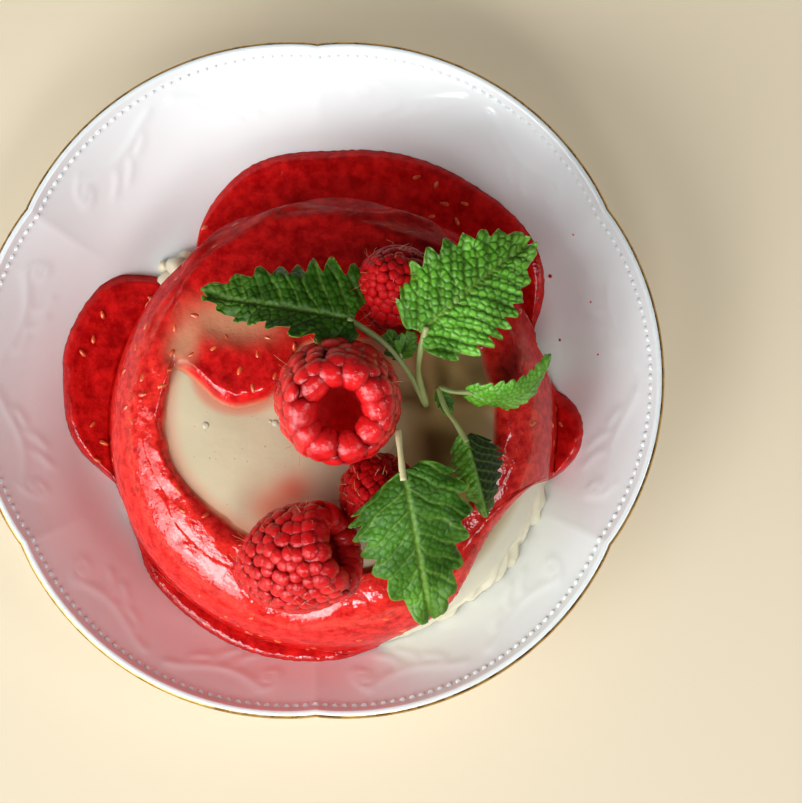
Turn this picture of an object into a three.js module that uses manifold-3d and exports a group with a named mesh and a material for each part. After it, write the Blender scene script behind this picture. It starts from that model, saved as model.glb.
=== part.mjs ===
// A turned-out cream pudding with raspberry sauce, raspberries and balm leaves in a scalloped dish.
// Millimetres, +Z up. The origin is the centre of the dish's foot, on the surface it stands on.
import * as THREE from "three";
import { mergeVertices } from "three/addons/utils/BufferGeometryUtils.js";
import Module from "manifold-3d";

const wasm = await Module();
wasm.setup();

const TURN = 2 * Math.PI;
const DEGREE = Math.PI / 180;
const UP = new THREE.Vector3(0, 0, 1);

// Dish: a flat floor, a wall that rises as part of a cosine, and a rim drawn in at six notches.
const RIM_RADIUS = 75;
const LOBES = 6;
const LOBE_DEPTH = 2;
const LOBE_SHARPNESS = 0.8;
const LOBE_START = 48;
const FLOOR_Z = 4;
const WALL_START = 44;
const WALL_LEVEL = 86;
const WALL_RISE = 25.4;
const WALL_THICKNESS = 3.2;
const RIM_THICKNESS = 2.2;
const UNDERSIDE_Z = 1.6;
const FOOT_INNER = 39.5;
const FOOT_OUTER = 45;
const DISH_COLUMNS = 72;

// Pudding: a tapered round block with soft shoulders, turned out a little off the dish's centre.
const PUDDING_X = 3.3;
const PUDDING_Y = -9.7;
const PUDDING_RADIUS = 48.3;
const PUDDING_TOP = 40;
const PUDDING_TAPER = 0.1;
const PUDDING_PLAN_POWER = 7;
const PUDDING_SIDE_POWER = 5;
const PUDDING_COLUMNS = 48;
const FOOT_LUMP = 1.3;
const FOOT_LUMP_ANGLE = -38 * DEGREE;
const FOOT_LUMP_SPREAD = 24 * DEGREE;
const FOOT_LUMP_COUNT = 14;
const GAP = 0.4;

// Sauce: a coat between the cream's opening on top and the reach of the runs and pools.
const SAUCE_REACH = 46.5;
const SAUCE_RUNS = [
  { angle: 76, spread: 46, reach: 16.5 },
  { angle: 153, spread: 18.5, reach: 16.5 },
  { angle: 172, spread: 21.5, reach: 12.5 },
  { angle: 0, spread: 12.5, reach: 8 },
  { angle: -112, spread: 32, reach: 4.5 },
];
const SAUCE_GAPS = [
  { angle: -31, spread: 16, reach: -4.2 },
  { angle: 19, spread: 5, reach: -2.5 },
];
const RUN_SHARPNESS = 14;
const OPENING_X = -2.9;
const OPENING_Y = -21.5;
const OPENING_RADIUS = 34.3;
const COVER_Y = 4.8;
const TONGUE_X = -15.5;
const TONGUE_WIDTH = 11;
const TONGUE_LENGTH = 13.7;
const SAUCE_LIFT = 0.5;
const SAUCE_DEPTH = 1.7;
const SAUCE_LEAST = 0.4;
const SAUCE_EDGE = 2.6;
const SAUCE_FILLET = 3.5;
const SAUCE_UNDER_FILLET = 1;
const SAUCE_COLUMNS = 56;
const ROWS_ON_TOP = 2;
const SIDE_SHARES = [0.93, 0.86, 0.76, 0.6, 0.4, 0.2, 0];
const ROWS_ON_DISH = 3;
const SAUCE_ROWS = 1 + ROWS_ON_TOP + SIDE_SHARES.length + ROWS_ON_DISH;
const DIMPLE_DEPTH = 1.2;
const SECTION_STEP = 0.5;
const SEED_COUNT = 16;
const SEED_SIZE = [0.95, 0.65, 0.55];

// Raspberries: centre in plan, direction from the tip to the open end, greatest radius and length.
const BERRIES = [
  {
    name: "raspberry_back",
    x: 17.2,
    y: 15.4,
    facing: [0.3, -0.28, -0.91],
    radius: 9.2,
    length: 19,
    open: false,
  },
  {
    name: "raspberry_centre",
    x: 5.2,
    y: -7.6,
    facing: [0.13, -0.31, 0.94],
    radius: 12.7,
    length: 25,
    open: true,
  },
  {
    name: "raspberry_front",
    x: -4.4,
    y: -41.2,
    facing: [0.93, 0.19, 0.3],
    radius: 11.3,
    length: 24,
    open: true,
  },
  {
    name: "raspberry_side",
    x: 13.3,
    y: -27.6,
    facing: [0.1, 0.25, -0.96],
    radius: 8.3,
    length: 17.5,
    open: false,
  },
];
const BERRY_CLEARANCE = 0.3;
const DRUPELET_RINGS = 7;
const DRUPELETS_ROUND = 10;
const DRUPELET_BUMP = 1;
const DRUPELET_SEAM = 0.45;
const BERRY_WIDEST = 0.68;
const BERRY_MOUTH = 0.5;
const BERRY_SWELL = 0.85;
const BERRY_BLUNTNESS = 1.25;
const BERRY_CLOSE = 0.1;

// Leaves and stems
const LEAF_THICKNESS = 0.6;
const LEAF_ROWS = 20;
const LEAF_COLUMNS = 4;
const TOOTH_DEPTH = 0.1;
const LEAF_FULLNESS = 0.75;
const LEAF_BROAD_END = 0.72;
const STEM_RADIUS = 0.65;
const STEM_STEPS = 7;
const LEFT_LEAF = {
  base: [8.8, 7.6, 58.2],
  tip: [-22.4, 14, 46.5],
  arch: [0, 0, 2.5],
  halfWidth: 8.5,
  roll: 22,
  fold: 0.12,
};
const RIGHT_LEAF = {
  base: [22, 4.6, 61],
  tip: [44.2, 24, 54],
  arch: [0, 0, 3.2],
  halfWidth: 11,
  roll: 8,
  fold: -0.18,
};
const BUD_LEAF_LEFT = {
  base: [18.4, 0.6, 53.8],
  tip: [15.2, 5.4, 56],
  arch: [0, 0, 0.6],
  halfWidth: 2.2,
  roll: 0,
  fold: 0.2,
};
const BUD_LEAF_RIGHT = {
  base: [18.2, 0.8, 53.8],
  tip: [20.6, 5.4, 56.6],
  arch: [0, 0, 0.6],
  halfWidth: 2,
  roll: 0,
  fold: 0.2,
};
const EDGE_LEAF = {
  base: [32.5, -6.4, 49.4],
  tip: [49.4, 1.9, 47.5],
  arch: [1.5, -4.6, 1],
  halfWidth: 5.4,
  roll: 58,
  fold: -0.2,
};
const FOLDED_LEAF = {
  base: [31.4, -15.4, 51.8],
  tip: [36, -32, 46.5],
  arch: [0, 0, 2.4],
  halfWidth: 7,
  roll: -12,
  fold: -0.6,
};
const TINY_LEAF = {
  base: [26, -5.4, 47.6],
  tip: [28.4, -10.4, 46],
  arch: [0, 0, 0.8],
  halfWidth: 1.8,
  roll: 0,
  fold: 0.15,
};
const FRONT_LEAF = {
  base: [18.6, -23.2, 61.6],
  tip: [24.2, -52.5, 45.5],
  arch: [0, 0, 4.2],
  halfWidth: 10.8,
  roll: -6,
  fold: -0.16,
};

function smoothStep(low, high, value) {
  const part = Math.min(1, Math.max(0, (value - low) / (high - low)));
  return part * part * (3 - 2 * part);
}

function seededRandom(seed) {
  let state = seed;
  return () => {
    state = (state * 16807) % 2147483647;
    return state / 2147483647;
  };
}

// Smallest turn from one angle to another, signed
function angleBetween(from, to) {
  return Math.atan2(Math.sin(to - from), Math.cos(to - from));
}

// A closed surface: rows run from the bottom outwards and up, columns run anticlockwise.
function loft(rows, columns, place) {
  const profile = [];
  for (let row = 0; row <= rows; row += 1) {
    profile.push(new THREE.Vector2(1, row));
  }
  const geometry = new THREE.LatheGeometry(profile, columns);
  const position = geometry.getAttribute("position");
  for (let column = 0; column <= columns; column += 1) {
    for (let row = 0; row <= rows; row += 1) {
      const point = place(row, column % columns);
      position.setXYZ(column * (rows + 1) + row, point.x, point.y, point.z);
    }
  }
  geometry.computeVertexNormals();
  return geometry;
}

function solidFrom(geometry) {
  const bare = new THREE.BufferGeometry();
  bare.setAttribute("position", geometry.getAttribute("position"));
  bare.setIndex(geometry.index);
  const merged = mergeVertices(bare, 1e-4);
  const mesh = new wasm.Mesh({
    numProp: 3,
    vertProperties: merged.attributes.position.array,
    triVerts: new Uint32Array(merged.index.array),
  });
  return new wasm.Manifold(mesh);
}

function joined(geometries) {
  let whole = solidFrom(geometries[0]);
  for (const geometry of geometries.slice(1)) {
    whole = whole.add(solidFrom(geometry));
  }
  const mesh = whole.getMesh();
  const result = new THREE.BufferGeometry();
  result.setAttribute("position", new THREE.BufferAttribute(mesh.vertProperties, 3));
  result.setIndex(new THREE.BufferAttribute(mesh.triVerts, 1));
  result.computeVertexNormals();
  return result;
}

// Height of the dish's inner face along its profile
function wallHeight(radius) {
  const part = Math.max(0, (radius - WALL_START) / (WALL_LEVEL - WALL_START));
  return FLOOR_Z + (WALL_RISE * (1 - Math.cos(Math.PI * part))) / 2;
}

// How far the lobes draw in a point of the profile
function lobeDraw(radius, angle) {
  const notch = 1 - Math.abs(Math.cos((LOBES / 2) * angle)) ** LOBE_SHARPNESS;
  return LOBE_DEPTH * notch * smoothStep(LOBE_START, RIM_RADIUS, radius);
}

function dishHeight(x, y) {
  const radius = Math.hypot(x, y);
  const angle = Math.atan2(y, x);
  let profileRadius = radius;
  for (let pass = 0; pass < 4; pass += 1) {
    profileRadius = radius + lobeDraw(profileRadius, angle);
  }
  return wallHeight(profileRadius);
}

function dishGeometry() {
  const rimZ = wallHeight(RIM_RADIUS);
  const profile = [
    new THREE.Vector2(0, UNDERSIDE_Z),
    new THREE.Vector2(FOOT_INNER - 1, UNDERSIDE_Z),
    new THREE.Vector2(FOOT_INNER, 0),
    new THREE.Vector2(FOOT_OUTER, 0),
  ];
  for (const radius of [47, 54, 61, 68]) {
    profile.push(new THREE.Vector2(radius, wallHeight(radius) - WALL_THICKNESS));
  }
  profile.push(new THREE.Vector2(RIM_RADIUS - 0.6, rimZ - RIM_THICKNESS));
  profile.push(new THREE.Vector2(RIM_RADIUS, rimZ - RIM_THICKNESS / 2));
  profile.push(new THREE.Vector2(RIM_RADIUS - 0.6, rimZ));
  for (const radius of [70, 65, 60, 55, 50]) {
    profile.push(new THREE.Vector2(radius, wallHeight(radius)));
  }
  profile.push(new THREE.Vector2(WALL_START, FLOOR_Z));
  profile.push(new THREE.Vector2(0, FLOOR_Z));
  return loft(profile.length - 1, DISH_COLUMNS, (row, column) => {
    const angle = (TURN * column) / DISH_COLUMNS;
    const radius = profile[row].x - lobeDraw(profile[row].x, angle);
    return new THREE.Vector3(radius * Math.cos(angle), radius * Math.sin(angle), profile[row].y);
  });
}

// Radius of the pudding at a share of its height, with broken lumps at its foot on one side
function puddingRadius(angle, share) {
  const turn = angleBetween(FOOT_LUMP_ANGLE, angle) / FOOT_LUMP_SPREAD;
  const lump = FOOT_LUMP * Math.exp(-turn * turn) * (1 + Math.sin(FOOT_LUMP_COUNT * angle)) / 2;
  const round = (1 - share ** PUDDING_SIDE_POWER) ** (1 / PUDDING_PLAN_POWER);
  const body = PUDDING_RADIUS * (1 - PUDDING_TAPER * share) * round;
  return body + lump * (1 - smoothStep(0, 0.35, share));
}

function puddingPoint(angle, radius) {
  return [PUDDING_X + radius * Math.cos(angle), PUDDING_Y + radius * Math.sin(angle)];
}

function puddingFootHeight(angle) {
  return dishHeight(...puddingPoint(angle, puddingRadius(angle, 0))) + GAP;
}

// Height of the pudding's outer face over a point, or of the dish beyond the pudding's foot
function supportHeight(x, y) {
  const angle = Math.atan2(y - PUDDING_Y, x - PUDDING_X);
  const radius = Math.hypot(x - PUDDING_X, y - PUDDING_Y);
  if (radius >= puddingRadius(angle, 0)) {
    return dishHeight(x, y);
  }
  let low = 0;
  let high = 1;
  for (let pass = 0; pass < 30; pass += 1) {
    const middle = (low + high) / 2;
    if (puddingRadius(angle, middle) > radius) {
      low = middle;
    } else {
      high = middle;
    }
  }
  const foot = puddingFootHeight(angle);
  return foot + (PUDDING_TOP - foot) * low;
}

function puddingGeometry() {
  const under = [0, 0.45, 0.75, 0.9];
  const shares = [0, 0.1, 0.22, 0.4, 0.58, 0.72, 0.82, 0.9, 0.95, 0.985, 1];
  return loft(under.length + shares.length - 1, PUDDING_COLUMNS, (row, column) => {
    const angle = (TURN * column) / PUDDING_COLUMNS;
    if (row < under.length) {
      const [x, y] = puddingPoint(angle, under[row] * PUDDING_RADIUS);
      return new THREE.Vector3(x, y, dishHeight(x, y) + GAP);
    }
    const share = shares[row - under.length];
    const [x, y] = puddingPoint(angle, puddingRadius(angle, share));
    const foot = puddingFootHeight(angle);
    return new THREE.Vector3(x, y, foot + (PUDDING_TOP - foot) * share);
  });
}

// Outer reach of the sauce at an angle about the pudding's axis
function sauceReach(angle) {
  const share = (run) => {
    const turn = Math.abs(angleBetween(run.angle * DEGREE, angle)) / (run.spread * DEGREE);
    return run.reach / (1 + turn ** RUN_SHARPNESS);
  };
  return SAUCE_REACH + Math.max(...SAUCE_RUNS.map(share)) + Math.min(...SAUCE_GAPS.map(share));
}

// Whether the cream shows at a point on top, between the shoulder and the tongue of sauce
function creamShows(x, y) {
  const tongue = TONGUE_LENGTH * Math.exp(-(((x - TONGUE_X) / TONGUE_WIDTH) ** 2));
  const inside = Math.hypot(x - PUDDING_X, y - PUDDING_Y) < OPENING_RADIUS;
  return inside && y < COVER_Y - tongue;
}

function openingEdge(angle) {
  const step = 0.1;
  let radius = 0;
  while (creamShows(OPENING_X + radius * Math.cos(angle), OPENING_Y + radius * Math.sin(angle))) {
    radius += step;
  }
  return [OPENING_X + radius * Math.cos(angle), OPENING_Y + radius * Math.sin(angle)];
}

// Depth of the sauce at a point, pressed down where a berry lies in it
function sauceDepth(x, y) {
  let depth = SAUCE_DEPTH;
  for (const berry of BERRIES) {
    const away = Math.hypot(x - berry.x, y - berry.y) / berry.radius;
    depth -= DIMPLE_DEPTH * (1 - smoothStep(0.8, 1.5, away));
  }
  return Math.max(SAUCE_LEAST, depth);
}

// Points of a polyline at even steps along its length
function evenSteps(points, step) {
  const spaced = [points[0].clone()];
  let left = step;
  for (let index = 1; index < points.length; index += 1) {
    const from = points[index - 1].clone();
    let length = from.distanceTo(points[index]);
    while (length >= left) {
      from.lerp(points[index], left / length);
      spaced.push(from.clone());
      length = from.distanceTo(points[index]);
      left = step;
    }
    left -= length;
  }
  return spaced;
}

function smoothed(points, reach) {
  const most = Math.round(reach / SECTION_STEP);
  return points.map((point, index) => {
    const half = Math.min(most, index, points.length - 1 - index);
    const sum = new THREE.Vector2();
    for (let near = index - half; near <= index + half; near += 1) {
      sum.add(points[near]);
    }
    return sum.divideScalar(2 * half + 1);
  });
}

// A curve moved off to its upper side by a distance for each point
function raised(points, distance) {
  return points.map((point, index) => {
    const before = points[Math.max(0, index - 1)];
    const after = points[Math.min(points.length - 1, index + 1)];
    const along = after.clone().sub(before).normalize();
    return new THREE.Vector2(point.x - along.y * distance(index), point.y + along.x * distance(index));
  });
}

// Stations of a section: on top, at set shares of the pudding's height, and out over the dish.
// Where the sauce ends early, the stations left over close up at its edge.
function keptIndices(away) {
  const last = away.length - 1;
  const first = away.findIndex((radius) => radius > OPENING_RADIUS);
  const shoulder = Math.max(ROWS_ON_TOP + 1, first);
  const kept = [0];
  for (let row = 1; row <= ROWS_ON_TOP; row += 1) {
    kept.push(Math.round((shoulder * row) / (ROWS_ON_TOP + 1)));
  }
  kept.push(shoulder);
  for (const share of SIDE_SHARES) {
    const left = SAUCE_ROWS - kept.length;
    const reached = away.findIndex((radius) => radius > puddingRadius(0, share));
    const station = reached < 0 ? last : reached;
    kept.push(Math.min(last - left, Math.max(kept[kept.length - 1] + 1, station)));
  }
  const foot = kept[kept.length - 1];
  for (let row = 1; row <= ROWS_ON_DISH; row += 1) {
    kept.push(foot + Math.round(((last - foot) * row) / ROWS_ON_DISH));
  }
  return kept;
}

// Under and upper curve of the sauce in the upright plane at one angle
function sauceSection(angle) {
  const [startX, startY] = openingEdge(angle);
  const [endX, endY] = puddingPoint(angle, sauceReach(angle));
  const length = Math.hypot(endX - startX, endY - startY);
  const alongX = (endX - startX) / length;
  const alongY = (endY - startY) / length;
  const samples = 300;
  const ground = [];
  for (let sample = 0; sample <= samples; sample += 1) {
    const distance = (length * sample) / samples;
    const height = supportHeight(startX + alongX * distance, startY + alongY * distance);
    ground.push(new THREE.Vector2(distance, height));
  }
  const even = evenSteps(ground, SECTION_STEP);
  const last = even.length - 1;
  const lower = raised(smoothed(even, SAUCE_UNDER_FILLET), () => SAUCE_LIFT);
  const upper = raised(smoothed(even, SAUCE_FILLET), (index) => {
    const inset = Math.min(1, (Math.min(index, last - index) * SECTION_STEP) / SAUCE_EDGE);
    const point = even[index];
    const depth = sauceDepth(startX + alongX * point.x, startY + alongY * point.x);
    return SAUCE_LIFT + depth * Math.sqrt(1 - (1 - inset) ** 2);
  });
  const place = (point) => new THREE.Vector3(startX + alongX * point.x, startY + alongY * point.x, point.y);
  const away = even.map((point) => {
    const spot = place(point);
    return Math.hypot(spot.x - PUDDING_X, spot.y - PUDDING_Y);
  });
  return { lower: lower.map(place), upper: upper.map(place), kept: keptIndices(away) };
}

function sauceCoat() {
  const sections = [];
  for (let column = 0; column < SAUCE_COLUMNS; column += 1) {
    sections.push(sauceSection((TURN * column) / SAUCE_COLUMNS));
  }
  return loft(2 * SAUCE_ROWS, SAUCE_COLUMNS, (row, column) => {
    const { lower, upper, kept } = sections[column];
    if (row <= SAUCE_ROWS || row === 2 * SAUCE_ROWS) {
      return lower[kept[row % (2 * SAUCE_ROWS)]];
    }
    return upper[kept[2 * SAUCE_ROWS - row]];
  });
}

// Seeds that stand half out of the coat, spread evenly round it
function sauceSeeds() {
  const random = seededRandom(7);
  const seeds = [];
  for (let count = 0; count < SEED_COUNT; count += 1) {
    const angle = (TURN * (count + 0.7 * random())) / SEED_COUNT;
    const { upper } = sauceSection(angle);
    const centre = upper[Math.floor(upper.length * (0.4 + 0.42 * random()))];
    const seed = new THREE.SphereGeometry(1, 6, 4);
    seed.scale(...SEED_SIZE);
    seed.rotateZ(TURN * random());
    seed.translate(centre.x, centre.y, centre.z);
    seeds.push(seed);
  }
  return seeds;
}

// Radius and height along a berry from its tip to its open end
function berryProfile(berry, share) {
  const swell = Math.sin((Math.min(1, share / BERRY_WIDEST) * Math.PI) / 2) ** BERRY_SWELL;
  const close = 1 - BERRY_CLOSE * smoothStep(BERRY_WIDEST, 1, share);
  const radius = (berry.radius * close - DRUPELET_BUMP) * swell;
  return new THREE.Vector2(radius, berry.length * share ** BERRY_BLUNTNESS);
}

function berryPoint(berry, row, column) {
  const outerRows = 2 * DRUPELET_RINGS;
  const angle = (Math.PI * column) / DRUPELETS_ROUND;
  let spot = berryProfile(berry, Math.min(1, row / outerRows));
  if (row <= outerRows && row % 2 === 1) {
    const before = berryProfile(berry, (row - 1) / outerRows);
    const along = berryProfile(berry, (row + 1) / outerRows).sub(before).normalize();
    const middle = (column + (row - 1) / 2) % 2 === 0;
    const bump = DRUPELET_BUMP * (middle ? 1 : DRUPELET_SEAM);
    spot.x += along.y * bump;
    spot.y -= along.x * bump;
  }
  if (row > outerRows && berry.open) {
    const hollow = [
      new THREE.Vector2(berry.radius * (BERRY_MOUTH + 0.14), berry.length),
      new THREE.Vector2(berry.radius * BERRY_MOUTH, berry.length * 0.93),
      new THREE.Vector2(berry.radius * BERRY_MOUTH * 0.8, berry.length * 0.55),
      new THREE.Vector2(0, berry.length * 0.36),
    ];
    spot = hollow[row - outerRows - 1];
  }
  if (row > outerRows && !berry.open) {
    spot = new THREE.Vector2(0, berry.length - 0.5);
  }
  return new THREE.Vector3(spot.x * Math.cos(angle), spot.x * Math.sin(angle), spot.y);
}

function berryMesh(berry) {
  const rows = 2 * DRUPELET_RINGS + (berry.open ? 4 : 1);
  const geometry = loft(rows, 2 * DRUPELETS_ROUND, (row, column) => berryPoint(berry, row, column));
  geometry.translate(0, 0, -berry.length / 2);
  const facing = new THREE.Vector3(...berry.facing).normalize();
  const mesh = new THREE.Mesh(geometry, material("#a3182b", 0.4));
  mesh.name = berry.name;
  mesh.quaternion.setFromUnitVectors(UP, facing);
  const turned = geometry.clone().applyQuaternion(mesh.quaternion);
  turned.computeBoundingBox();
  const sauceTop = SAUCE_LIFT + SAUCE_DEPTH - DIMPLE_DEPTH;
  const rest = supportHeight(berry.x, berry.y) + sauceTop + BERRY_CLEARANCE;
  mesh.position.set(berry.x, berry.y, rest - turned.boundingBox.min.z);
  return mesh;
}

// A toothed blade: it arches from base to tip, rolls about its midrib and folds along it.
function leafGeometry({ base, tip, arch, halfWidth, roll, fold }) {
  const from = new THREE.Vector3(...base);
  const to = new THREE.Vector3(...tip);
  const middle = from.clone().lerp(to, 0.5).addScaledVector(new THREE.Vector3(...arch), 2);
  const midrib = new THREE.QuadraticBezierCurve3(from, middle, to);
  const ring = 2 * LEAF_COLUMNS;
  return loft(LEAF_ROWS, ring, (row, column) => {
    const share = row / LEAF_ROWS;
    const along = midrib.getTangent(share);
    const side = new THREE.Vector3().crossVectors(UP, along).normalize().applyAxisAngle(along, roll * DEGREE);
    const normal = new THREE.Vector3().crossVectors(along, side);
    const tooth = row % 2 === 1 ? 1 : 1 - TOOTH_DEPTH;
    const width = halfWidth * tooth * Math.sin(Math.PI * share ** LEAF_BROAD_END) ** LEAF_FULLNESS;
    const upper = column <= LEAF_COLUMNS;
    const across = upper ? 1 - (2 * column) / LEAF_COLUMNS : (2 * column) / LEAF_COLUMNS - 3;
    const edge = column === 0 || column === LEAF_COLUMNS;
    const half = edge || row === 0 || row === LEAF_ROWS ? 0 : (upper ? 0.5 : -0.5) * LEAF_THICKNESS;
    const lift = fold * width * Math.abs(across) + half;
    return midrib.getPoint(share).addScaledVector(side, across * width).addScaledVector(normal, lift);
  });
}

function stemGeometry(points) {
  const path = new THREE.CatmullRomCurve3(points.map((point) => new THREE.Vector3(...point)));
  const outline = new THREE.Shape().absarc(0, 0, STEM_RADIUS, 0, TURN);
  return new THREE.ExtrudeGeometry(outline, { steps: STEM_STEPS, curveSegments: 3, extrudePath: path });
}

// Two opposite leaves with a pair of small ones, on stems that meet beside the middle berry
function upperSprig() {
  const meeting = [23.4, -8.4, 45.5];
  return joined([
    stemGeometry([[7.4, 7.6, 58.4], [14.9, 2.9, 56.5], [20.2, -3, 51.5], meeting]),
    stemGeometry([[23.4, 5.6, 62], [22, 0.5, 58.5], [21.8, -3, 52.5], meeting]),
    stemGeometry([[18, 1.4, 54.6], [18.8, -0.6, 53], [20.6, -3.6, 50.8]]),
    leafGeometry(LEFT_LEAF),
    leafGeometry(RIGHT_LEAF),
    leafGeometry(BUD_LEAF_LEFT),
    leafGeometry(BUD_LEAF_RIGHT),
  ]);
}

// A leaf seen on edge and a folded one, with a tiny leaf at the stem
function sideSprig() {
  const start = [25.8, -5, 47.5];
  return joined([
    stemGeometry([start, [29.5, -6, 48.2], [34.4, -6, 49.8]]),
    stemGeometry([start, [27.4, -9.5, 49], [29.6, -13, 51], [31.7, -16.8, 52]]),
    leafGeometry(EDGE_LEAF),
    leafGeometry(FOLDED_LEAF),
    leafGeometry(TINY_LEAF),
  ]);
}

// The big leaf that hangs over the front of the pudding
function frontLeaf() {
  return joined([
    stemGeometry([[17.6, -15, 58.6], [18, -19, 60.4], [18.7, -25.4, 62]]),
    leafGeometry(FRONT_LEAF),
  ]);
}

function material(color, roughness) {
  return new THREE.MeshStandardMaterial({ color, roughness, metalness: 0 });
}

const dessert = new THREE.Group();

function addPart(name, geometry, look) {
  const mesh = new THREE.Mesh(geometry, look);
  mesh.name = name;
  dessert.add(mesh);
}

addPart("dish", dishGeometry(), material("#efece6", 0.15));
addPart("pudding", puddingGeometry(), material("#e8d2a6", 0.35));
addPart("sauce", joined([sauceCoat(), ...sauceSeeds()]), material("#9d0f1a", 0.1));
for (const berry of BERRIES) {
  dessert.add(berryMesh(berry));
}
addPart("sprig_upper", upperSprig(), material("#4f7f2f", 0.5));
addPart("sprig_side", sideSprig(), material("#456f2a", 0.5));
addPart("leaf_front", frontLeaf(), material("#5a8a35", 0.5));

export default dessert;
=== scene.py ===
"""Looks of a cream pudding with raspberry sauce, raspberries and balm leaves in a porcelain dish.

Lengths are millimetres until a mesh is made. +Z is up and the origin is the centre of the dish's foot.
A name that ends in BAND holds the two values between which an effect sets in or fades out.
"""
import math
from collections import namedtuple

import bpy
import numpy as np
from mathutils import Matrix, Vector


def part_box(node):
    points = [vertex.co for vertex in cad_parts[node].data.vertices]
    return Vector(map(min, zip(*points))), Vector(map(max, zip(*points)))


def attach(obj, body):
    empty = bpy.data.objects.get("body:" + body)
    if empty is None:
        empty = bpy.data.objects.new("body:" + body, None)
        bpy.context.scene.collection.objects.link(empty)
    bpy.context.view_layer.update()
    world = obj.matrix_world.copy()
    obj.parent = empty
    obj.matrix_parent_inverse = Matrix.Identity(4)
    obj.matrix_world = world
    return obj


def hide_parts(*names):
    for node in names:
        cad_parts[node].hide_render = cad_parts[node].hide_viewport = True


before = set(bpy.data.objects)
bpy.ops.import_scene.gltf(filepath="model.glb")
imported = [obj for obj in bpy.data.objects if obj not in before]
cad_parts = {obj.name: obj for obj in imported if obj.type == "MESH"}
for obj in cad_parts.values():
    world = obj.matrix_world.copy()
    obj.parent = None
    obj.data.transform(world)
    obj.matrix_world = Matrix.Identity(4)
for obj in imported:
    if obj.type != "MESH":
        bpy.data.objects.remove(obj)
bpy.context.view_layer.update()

MM = 0.001
TURN = 2 * math.pi
FAR = 1e9
UP = np.array([0, 0, 1.0])
random = np.random.default_rng(11)

# Dish
RIM_RADIUS = 75
LOBES = 6
LOBE_DEPTH = 2
LOBE_SHARPNESS = 0.8
LOBE_START = 48
FLOOR_Z = 4
WALL_START = 44
WALL_LEVEL = 86
WALL_RISE = 25.4
WALL_THICKNESS = 3.2
OUTER_WALL_START = 47
RIM_ROUND = 1.1
LIP_TURN = (-math.pi / 2, math.pi * 0.72)
UNDERSIDE_Z = 1.6
FOOT_INNER = 39.5
FOOT_OUTER = 45
AXIS_RADIUS = 0.05
DISH_COLUMNS = 480
GOLD_ROWS = (7, 14)
BEAD_RADIUS = 72.3
BEAD_COUNT = 216
BEAD_HALF = np.array([0.7, 0.7, 0.2])
BEAD_SINK = 0.05

# Relief in each half lobe of the dish: a stem with side leaves as (place on the stem, reach), and a curl
SCROLL_HEIGHT = 0.26
SCROLL_WIDTH = 0.95
SCROLL_LIMITS = (-0.5, 13)
SCROLL_START = 3
SCROLL_LENGTH = 21
SCROLL_INSET = 3.2
SCROLL_ARCH = 3.4
SCROLL_POINTS = 40
CURL_RADIUS = 2.9
CURL_DECAY = 0.22
CURL_INSET = 6.4
CURL_TURN = 2.6 * math.pi
SCROLL_LEAVES = [(0.2, 3.4), (0.42, 4.6), (0.64, 4.2)]

# Pudding
PUDDING = np.array([3.3, -9.7])
PUDDING_RADIUS = 48.3
PUDDING_TOP = 40
PUDDING_MIDDLE = [*PUDDING, 15]
PUDDING_TAPER = 0.1
PUDDING_PLAN_POWER = 7
PUDDING_SIDE_POWER = 5
PUDDING_COLUMNS = 360
UNDER_ROWS = 12
SIDE_ROWS = 60
TOP_ROWS = 80
SHOULDER = 0.8
FOOT_LUMP = 1.3
FOOT_LUMP_ANGLE = math.radians(-38)
FOOT_LUMP_SPREAD = math.radians(24)
FOOT_LUMP_COUNT = 14
FOOT_LUMP_BAND = (0, 0.35)
BROKEN_SPREAD = 0.55
BROKEN_BAND = (8, 22)
TOP_BAND = (29, 38)
# The right part of the top is painted browner across this band of x, as painted shade.
PAINTED_SHADE_BAND = (8, 24)
GAP = 0.4

# Broken bits at the pudding's foot: angle, distance from its axis, size
CRUMBS = [(134, 50, 3.2), (138, 49.4, 2.6), (131, 51, 2), (136, 52.6, 1.6)]

# Bubbles on the cream: place and radius
BUBBLES = [(-22.7, -12.1, 0.75), (-8.1, -11.7, 0.7), (-7.0, -11.2, 0.45), (-9.2, -11.3, 0.35)]

# Red spots on the cream beside the berries, painted reflection of the berries: place and reach
STAINS_AND_REFLECTIONS = [(-3.8, -25.5, 3.8), (-9, -30, 5), (12, 6, 8), (-3, 3, 6)]

# Sauce: runs and gaps are (angle, half width, reach)
SAUCE_REACH = 46.5
SAUCE_RUNS = [
    (78, 52.5, 16.4),
    (156.5, 19.5, 16.5),
    (168, 24.5, 12.7),
    (-1.5, 13, 8.8),
    (-115, 37, 6.6),
    (-160, 16, 1.4),
]
SAUCE_GAPS = [(-35, 31, -5.2), (19.5, 10, -2.6), (135, 9, -3)]
RUN_POWER = 3
OPENING = np.array([-11.0, -24.0])
OPENING_RADIUS = 34.3
OPENING_NARROW = math.radians(-128)
NARROW_SPREAD = math.radians(26)
NARROWING = 3.8
COVER_Y = 4.8
TONGUE = np.array([-15.6, 0.6])
TONGUE_HALF = np.array([9.6, 9.6])
TONGUE_POWER = 2.2
SAUCE_LIFT = 0.5
SAUCE_DEPTH = 1.7
BERRY_BED_DEPTH = SAUCE_DEPTH - 1.2
BERRY_BED_BAND = (0.55, 1.05)
SAUCE_EDGE = 2.6
SAUCE_FILLET = 7.5
SAUCE_FEATHER = 3.8
SAUCE_ROWS = 126
SAUCE_COLUMNS = 400
SECTION_STEP = 0.25
SECTION_SAMPLES = 420
RING_SWELL = 1.9
RING_RADIUS = 41.5
RING_WIDTH = 5
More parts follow.
